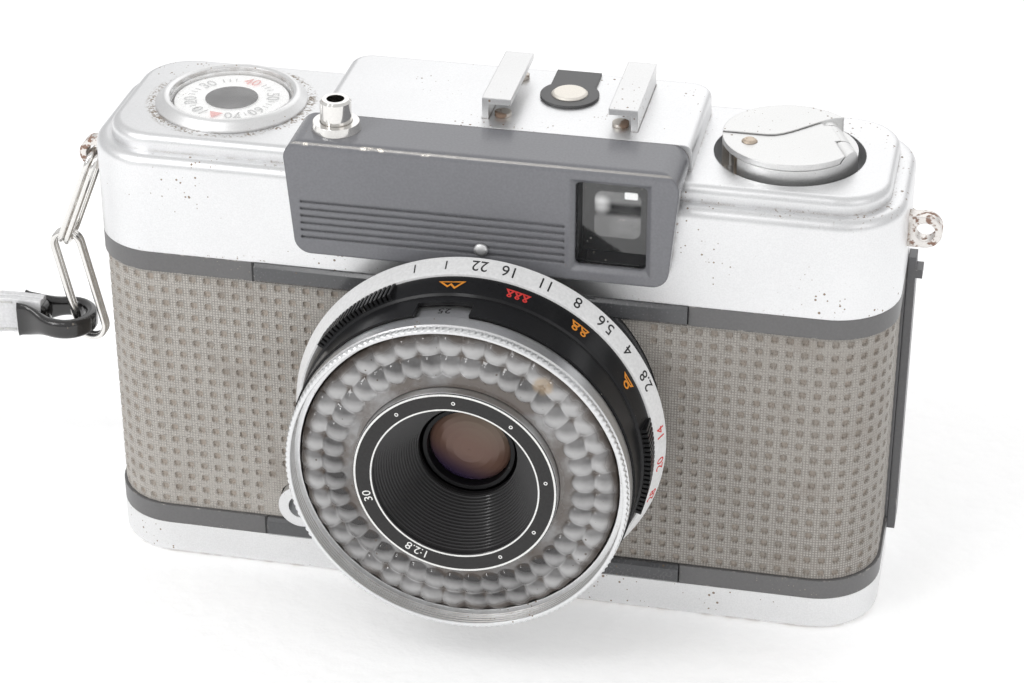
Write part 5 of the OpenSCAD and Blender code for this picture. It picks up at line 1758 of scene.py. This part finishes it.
@dataclass
class LensFront:
    """Rings, marks, bubble glass and baffle cone of the lens.

    Names with _r are radii, and names with _s are stations forward of the body's front. A place given as two
    numbers is a radius and a station.
    """

    x: float = LENS_AT[0]
    z: float = LENS_AT[1]
    front_y: float = FRONT_Y
    ring_r: float = 22.5
    bore_r: float = 21.75
    ring_back: float = 15.6
    reach: float = 19.1
    sleeve_r: float = 22.1
    bore_low: float = 21.04
    teeth: int = 168
    glass_in: float = 13.5
    glass_out: float = 20.87
    glass_back: float = 14.56
    glass_rows: int = 42
    bubbles: int = 41
    bubble_steps: int = 14
    bubble_in: float = 14.8
    # Each row of caps: middle radius, half width, height, and the row's painted shade.
    caps: Tuple[Tuple[float, float, float, float], ...] = ((19.3, 1.8, 0.82, 0.16), (16.6, 1.76, 0.84, 0.42))
    thread_turns: int = 4
    thread_pitch: float = 0.5
    thread_s: float = 18.8
    knurl_s: float = 18.3
    ring_steps: int = 192
    hub_in: float = 21.06
    hub_out: float = 22.8
    rim_front: Flat = (24.05, 7.15)
    rim_back: Flat = (25.0, 4.55)
    figures_at: Flat = (24.52, 5.86)
    focus_at: Flat = (23.4, 9.0)
    focus_slope: float = -0.16
    speed_s: float = 13.7
    bead_z: float = 55.1
    bead_steps: int = 40
    cone_steps: int = 128
    name_middle: float = 12.0
    name_r: float = 13.4
    cone_r: float = 10.8
    throat_r: float = 6.6
    throat_s: float = 11.2
    ribs: int = 18

    def at(self, r: float, a: float, s: float) -> Point:
        """Gives the point at a radius, an angle from +X to +Z, and a station forward of the body's front."""
        turn = math.radians(a)
        return (self.x + r * math.cos(turn), self.front_y - s, self.z + r * math.sin(turn))

    def build(self) -> None:
        """Makes every piece of the lens front."""
        self.front_ring()
        self.aperture_ring()
        self.index_bead()
        self.bubble_glass()
        self.cone()
        self.aperture_figures()
        self.focus_signs()
        self.speed_figures()

    def front_ring(self) -> None:
        """Makes the chrome front ring with its slanted knurl and its filter thread."""
        shape = Shape("front_ring")
        steps = self.teeth * 4
        ring_r, back = self.ring_r, self.ring_back
        outside = [
            (self.bore_low, 12.15, 0.0), (self.sleeve_r, 12.15, 0.0), (self.sleeve_r, back, 0.0),
            (ring_r - 0.12, back + 0.02, 0.0), (ring_r, back + 0.15, 0.0), (ring_r, 17.95, 0.0),
            (ring_r - 0.2, 18.05, 0.0), (ring_r - 0.2, 18.2, 0.0), (ring_r - 0.01, self.knurl_s, 0.24),
            (ring_r - 0.01, 18.78, 0.24), (ring_r - 0.1, 18.98, 0.2), (ring_r - 0.3, 19.07, 0.06),
            (self.bore_r + 0.2, 19.08, 0.0), (self.bore_r + 0.02, 19.0, 0.0),
        ]
        thread = []
        for i in range(self.thread_turns):
            s = self.thread_s - self.thread_pitch * i
            thread += [(self.bore_r, s, 0.0), (self.bore_r + 0.2, s - 0.12, 0.0), (self.bore_r, s - 0.3, 0.0)]
        inside = [(self.bore_r, 16.95, 0.0), (self.bore_low, 16.9, 0.0)]
        rows = []
        for r, s, cut in outside + thread + inside:
            slant = (s - self.knurl_s) * 1.1
            row = []
            for i in range(steps):
                bite = cut * (0.5 - 0.5 * math.cos(math.pi * 0.5 * (i - 2.0 * slant)))
                row.append(self.at(r - bite, FULL_TURN * i / steps, s))
            rows.append(shape.add(row))
        grooves = range(len(outside), len(outside) + len(thread))
        for k, row in enumerate(rows):
            dull = k in grooves and (k - len(outside)) % 3 < 2
            shape.grid([row, rows[(k + 1) % len(rows)]], around=True, mark=1 if dull else 0)
        finishes = [RING_CHROME, GROOVE_STEEL]
        shape.make(finishes, Body.FILM_SPEED, ["film_speed_ring"], TURNED_ANGLE)

    def aperture_ring(self) -> None:
        """Makes the aperture ring: a thin bright rim with a sloping face, on a dark hub."""
        shape = Shape("aperture_ring_rimmed")
        rim = [
            (self.hub_in, 7.25), (23.9, 7.25), self.rim_front, self.rim_back, (24.9, 4.4), (self.hub_out, 4.4),
            (self.hub_in, 4.4),
        ]
        shape.lathe(rim, self.ring_steps, self.at)
        hub = [(self.hub_in, 3.15), (self.hub_out, 3.15), (self.hub_out, 4.45), (self.hub_in, 4.45)]
        shape.lathe(hub, self.ring_steps, self.at, 1)
        finishes = [RIM_SILVER, SATIN_BLACK]
        shape.make(finishes, Body.APERTURE, ["aperture_ring"], TURNED_ANGLE)

    def index_bead(self) -> None:
        """Makes the domed bead that the rings are read against."""
        shape = Shape("index_bead_domed")
        profile = (
            (0.46, 1.66), (0.46, 2.55), (0.92, 2.55), (0.92, 2.8),
            (0.86, 2.93), (0.74, 3.04), (0.55, 3.11), (0.3, 3.15),
        )
        turns = [math.radians(FULL_TURN * i / self.bead_steps) for i in range(self.bead_steps)]
        around = [(math.cos(a), math.sin(a)) for a in turns]
        rows = []
        for r, s in profile:
            y = self.front_y - s
            rows.append(shape.add((self.x + r * along, y, self.bead_z + r * rise) for along, rise in around))
        shape.cap(rows)
        shape.make([SHOE_STEEL], Body.CASE, ["index_bead"], SOFT_ANGLE)

    def glass_face(self, r: float) -> float:
        """Gives the station of the glass's front at a radius, without its bubbles."""
        t = (r - self.glass_in) / (self.glass_out - self.glass_in)
        return 17.75 - 0.85 * t

    def bubble_glass(self) -> None:
        """Makes the ring of moulded glass: two rows of convex bubbles, and a plain band inside them."""
        shape = Shape("bubble_glass_ring")
        shape.values = {"shade": [], "seam": []}
        steps = self.bubbles * self.bubble_steps
        edge = self.glass_out - 0.15
        radii = [self.glass_in + past for past in (0.0, 0.2, 0.6, 1.1)]
        count = self.glass_rows
        radii += [self.bubble_in + (edge - self.bubble_in) * k / count for k in range(count + 1)]
        rows = []
        for r in radii:
            row = []
            for i in range(steps):
                height, shade, seam = self.bubble(r, (i / self.bubble_steps) % 1.0 - 0.5)
                row.append(self.at(r, FULL_TURN * i / steps, self.glass_face(r) + height))
                shape.values["shade"].append(shade)
                shape.values["seam"].append(seam)
            rows.append(shape.add(row))
        shoulder = (self.glass_out, self.glass_face(self.glass_out) - 0.25)
        for r, s in (shoulder, (self.glass_out, self.glass_back), (self.glass_in, self.glass_back)):
            rows.append(shape.add(self.at(r, FULL_TURN * i / steps, s) for i in range(steps)))
            shape.values["shade"].extend([0.6] * steps)
            shape.values["seam"].extend([1.0] * steps)
        shape.grid(rows, around=True, closed=True)
        shape.make([BUBBLE_GLASS], Body.CASE, ["cell_glass"], 75.0)

    def bubble(self, r: float, across: float) -> Tuple[float, float, float]:
        """Gives the glass's height over its plain face, as the higher one of two rows of round caps.

        Args:
            r: the radius of the place.
            across: where it is between the bubble's two side seams, from -0.5 to 0.5.

        Returns:
            The height, the painted shade of its row and how near the place is to a seam, both from 0 to 1.
        """
        best, shade = 0.0, 0.5
        for middle, base, tall, dark in self.caps:
            arc = (base * base + tall * tall) / (2.0 * tall)
            away = (r - middle) ** 2 + (across * 2.0 * math.pi / self.bubbles * middle) ** 2
            height = math.sqrt(max(0.0, arc * arc - away)) - (arc - tall)
            if height > best:
                best, shade = height, dark
        return best, shade, 1.0 - ease(best, 0.1, 0.42)

    def cone(self) -> None:
        """Makes the baffle cone with its steps, and the ring in front of it."""
        shape = Shape("lens_cone_ribbed")
        profile = [
            (12.4, 4.0), (12.4, 13.34), (self.name_r, 13.34), (self.name_r, self.reach + 0.12),
            (self.name_r - 0.1, self.reach + 0.2), (11.0, self.reach + 0.2), (self.cone_r, self.reach + 0.05),
        ]
        for i in range(self.ribs):
            t, n = (i + 0.25) / self.ribs, (i + 1.0) / self.ribs
            r_in = self.cone_r + (self.throat_r - self.cone_r) * n
            s_in = self.reach - 0.35 + (self.throat_s - self.reach + 0.35) * t
            profile += [
                (r_in + 0.26, s_in), (r_in + 0.02, s_in), (r_in + 0.02, s_in - 0.12), (r_in + 0.2, s_in - 0.3),
            ]
        profile += [(self.throat_r, self.throat_s), (self.throat_r, 10.52), (11.38, 10.52), (11.38, 4.0)]
        shape.lathe(profile, self.cone_steps, self.at)
        shape.make([CONE_BLACK], Body.CASE, ["lens_cone"], TURNED_ANGLE)
        self.name_ring()

    def name_ring(self) -> None:
        """Makes the bare face in front of the cone, with its white circles and figures and its bright wall."""
        circles = Shape("name_ring_marks")
        face = self.reach + 0.2

        def band(inner: float, outer: float, lift: float, mark: int = 0) -> None:
            """Lays a thin flat ring on the face."""
            edge = [(inner, face - 0.05), (inner, face + lift), (outer, face + lift), (outer, face - 0.05)]
            circles.lathe(edge, self.cone_steps, self.at, mark)

        for radius, half in ((13.14, 0.13), (11.0, 0.1)):
            band(radius - half, radius + half, 0.03)
        for text, angle in (("1:2.8", 245.0), ("30", 196.0)):
            Marks().figures(text, 1.15, wide=1.05).lay(circles, self.on_name_ring(angle))
        for angle in (128.0, 90.0, 52.0, 8.0, 330.0, 300.0):
            Marks().ring(0.0, 0.0, 0.2, 0.12).lay(circles, self.on_name_ring(angle))
        band(11.06, 13.03, 0.012, 1)
        inner, outer = self.name_r - 0.1, self.name_r + 0.03
        wall = [(inner, 14.7), (outer, 14.7), (outer, face - 0.12), (inner, face - 0.02)]
        circles.lathe(wall, self.cone_steps, self.at, 2)
        circles.make([WHITE_INK, NAME_GREY, RING_CHROME], Body.CASE, smooth=PRINT_ANGLE)

    def on_name_ring(self, angle: float) -> Placer:
        """Finds the way onto the name ring's face.

        Args:
            angle: where the middle of the marks is.

        Returns:
            The way, along the ring clockwise and outwards.
        """

        def onto(u: float, v: float, w: float) -> Point:
            """Gives the point for a place along, across and above the face."""
            turn = angle - math.degrees(u / self.name_middle)
            return self.at(self.name_middle + v, turn, self.reach + 0.2 + w)

        return onto

    def on_ring(self, angle: float, radius: float, station: float, slope: float) -> Placer:
        """Finds the way onto a ring's outside, for marks that are read from behind the camera.

        Args:
            angle: where their middle is.
            radius: the ring's radius there.
            station: where their middle is along the lens.
            slope: how much the radius grows for each millimetre forward.

        Returns:
            The way, along the ring and forward.
        """
        flat = 1.0 / math.hypot(1.0, slope)

        def onto(u: float, v: float, w: float) -> Point:
            """Gives the point for a place along, across and above the ring."""
            r, s = radius + (v * slope + w) * flat, station + (v - w * slope) * flat
            return self.at(r, angle + math.degrees(u / radius), s)

        return onto

    def aperture_figures(self) -> None:
        """Prints the aperture numbers on the sloping face of their ring, and red guide numbers beside them."""
        slope = (self.rim_front[0] - self.rim_back[0]) / (self.rim_front[1] - self.rim_back[1])
        shape = Shape("aperture_figures")
        black = {"22": 88.7, "16": 79.6, "11": 68.2, "8": 57.2, "5.6": 46.5, "4": 35.9, "2.8": 24.6}
        for text, angle in black.items():
            Marks().figures(text, 1.72, wide=0.9).lay(shape, self.on_ring(angle, *self.figures_at, slope))
        for text, angle in {"14": 6.0, "20": -5.0, "28": -17.0}.items():
            Marks().figures(text, 1.6, wide=0.9).lay(shape, self.on_ring(angle, *self.figures_at, slope), 1)
        for angle in (99.0, 109.0):
            Marks().tick(0.09, -0.7, 0.7).lay(shape, self.on_ring(angle, *self.figures_at, slope))
        shape.make([BLACK_INK, RED_INK], Body.APERTURE, smooth=PRINT_ANGLE)

    def focus_signs(self) -> None:
        """Prints four distance signs on the focus ring: hills, a group, a pair and one head."""
        shape = Shape("focus_signs")
        peaks = [(-1.55, -0.55), (-0.55, 0.75), (0.05, 0.0), (0.45, 0.45), (1.5, -0.55)]
        hills = Marks().stroke(peaks, 0.26, True)
        group = Marks()
        for x in (-1.05, 0.0, 1.05):
            group.ring(x, 0.5, 0.22, 0.2).stroke([(x - 0.42, -0.6), (x, 0.18), (x + 0.42, -0.6)], 0.24, True)
        pair = Marks()
        for x in (-0.68, 0.68):
            chest = [(x - 0.52, -0.65), (x - 0.3, -0.12), (x + 0.3, -0.12), (x + 0.52, -0.65)]
            pair.ring(x, 0.4, 0.32, 0.22).stroke(chest, 0.22, True)
        head = Marks().ring(0.0, 0.42, 0.46, 0.24)
        head.stroke([(-1.0, -0.75), (-0.72, -0.25), (0.72, -0.25), (1.0, -0.75)], 0.24, True)
        for sign, angle, mark in ((hills, 96.0, 0), (group, 74.8, 1), (pair, 52.9, 0), (head, 29.5, 0)):
            sign.lay(shape, self.on_ring(angle, *self.focus_at, self.focus_slope), mark)
        shape.make([ORANGE_INK, RED_INK], Body.FOCUS, smooth=PRINT_ANGLE)

    def speed_figures(self) -> None:
        """Prints the film speeds on the front ring's sleeve, behind their window."""
        shape = Shape("film_speed_figures")
        for i, text in enumerate(("25", "50", "100", "200", "400")):
            angle = 96.0 - 18.0 * i
            Marks().figures(text, 1.25).lay(shape, self.on_ring(angle, self.sleeve_r, self.speed_s, 0.0))
        shape.make([BLACK_INK], Body.FILM_SPEED, smooth=PRINT_ANGLE)


@dataclass
class Counter:
    """Printed face of the frame counter."""

    x: float = COUNTER_AT[0]
    y: float = COUNTER_AT[1]
    disc_r: float = 3.55
    figure_r: float = 5.55

    def build(self) -> None:
        """Prints the frame numbers, their ticks, the dark middle and the red pointer."""
        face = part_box("counter_dial")[1][2] / MM
        shape = Shape("counter_marks")

        def ring_of(angle: float) -> Placer:
            """Finds the way onto the dial.

            Args:
                angle: where the middle of the marks is.

            Returns:
                The way, along the dial's rim and outwards.
            """
            turn = math.radians(angle)
            out, along = (math.cos(turn), math.sin(turn)), (math.sin(turn), -math.cos(turn))

            def onto(u: float, v: float, w: float) -> Point:
                """Gives the point for a place along, across and above the dial."""
                r = self.figure_r + v
                return (self.x + r * out[0] + u * along[0], self.y + r * out[1] + u * along[1], face + w)

            return onto

        frames = {"10": 238.0, "20": 200.0, "30": 142.0, "40": 76.0, "50": 15.0, "60": 322.0, "70": 288.0}
        for text, angle in frames.items():
            Marks().figures(text, 1.75, wide=0.95).lay(shape, ring_of(angle), 1 if text == "40" else 0)
        for angle in (219.0, 171.0, 109.0, 46.0, 349.0, 305.0):
            for step in (-9.0, 0.0, 9.0):
                Marks().tick(0.08, -0.45, 0.45).lay(shape, ring_of(angle + step))
        turns = [math.radians(a) for a in range(0, 360, 10)]
        disc = [(self.disc_r * math.cos(a), self.disc_r * math.sin(a) - self.figure_r) for a in turns]
        Marks().patch(disc).lay(shape, ring_of(90.0), 2)
        Marks().patch([(-0.95, -0.7), (0.95, -0.7), (0.0, 0.95)]).lay(shape, ring_of(262.0), 1)
        shape.make([FADED_INK, FADED_RED, DISC_INK], Body.COUNTER, smooth=PRINT_ANGLE)


@dataclass
class AdvanceWheel:
    """Milled wheel that winds the film."""

    x: float = -36.8
    y: float = 2.6
    radius: float = 13.6
    low: float = 53.6
    high: float = 57.6
    teeth: int = 84
    bore: float = 2.0
    gear_r: float = 7.9
    gear_low: float = 52.26

    def at(self, r: float, a: float, s: float) -> Point:
        """Gives the point at a radius, an angle and a height."""
        turn = math.radians(a)
        return (self.x + r * math.cos(turn), self.y + r * math.sin(turn), s)

    def build(self) -> None:
        """Makes the wheel with its milled rim over the gear under it."""
        shape = Shape("advance_wheel_milled")
        steps = self.teeth * 4
        low, high, radius = self.low, self.high, self.radius
        rim = [
            (self.bore, low, 0.0), (radius - 0.5, low, 0.0), (radius - 0.1, low + 0.4, 0.35),
            (radius, low + 0.6, 0.45), (radius, high - 0.6, 0.45), (radius - 0.1, high - 0.4, 0.35),
            (radius - 0.5, high, 0.0), (self.bore, high, 0.0),
        ]
        rows = []
        for r, z, cut in rim:
            row = []
            for i in range(steps):
                bite = cut if i % 4 in (2, 3) else 0.0
                row.append(self.at(r - bite, FULL_TURN * i / steps, z))
            rows.append(shape.add(row))
        shape.grid(rows, around=True, closed=True)
        gear = [(self.bore, self.gear_low), (self.gear_r, self.gear_low), (self.gear_r, low), (self.bore, low)]
        shape.lathe(gear, 64, self.at)
        shape.make([BLACK_PLASTIC], Body.ADVANCE, ["thumbwheel"], TURNED_ANGLE)


@dataclass
class Casing:
    """Finishes of the nodes that stay as they are, and painted shadow lines at the joints of the centre strips.
    """

    smooth: float = 28.0
    # Place of the painted shadow lines at the strips' left joints.
    joint_shadow_x: float = -30.78
    joint_shadow_y: float = FRONT_Y
    joint_shadow_half: float = 0.16
    joint_shadow_rows: Tuple[Flat, ...] = ((5.25, 8.1), (45.5, 48.35))

    def build(self) -> None:
        """Gives every node that stays its finish and paints the strips' joint shadows."""
        self.seams()
        for finish, nodes in DRESS.items():
            for node in nodes:
                mesh = frame["nodes"][node].data
                mesh.materials.clear()
                mesh.materials.append(finish.material())
                smooth_by_angle(mesh, self.smooth)
            LOG.info("%s on %d nodes", finish.name, len(nodes))

    def seams(self) -> None:
        """Makes a painted shadow: a dark line at the left end of each of the two centre strips."""
        shape = Shape("strip_joint_shadows")

        def onto(u: float, v: float, w: float) -> Point:
            """Gives the point for a place along, up and in front of the strips."""
            return (self.joint_shadow_x + u, self.joint_shadow_y - w, v)

        for low, high in self.joint_shadow_rows:
            Marks().tick(self.joint_shadow_half, low, high).lay(shape, onto)
        shape.make([BLACK_INK], Body.CASE, smooth=PRINT_ANGLE)


def main() -> None:
    """Builds the studio and every sub-assembly in order."""
    logging.basicConfig(level=logging.INFO, format="%(message)s")
    for part in (Studio(), WristStrap(), Casing(), Leatherette(), LensFront(), Counter(), AdvanceWheel()):
        part.build()
    bpy.context.view_layer.update()


if __name__ == "__main__":
    main()
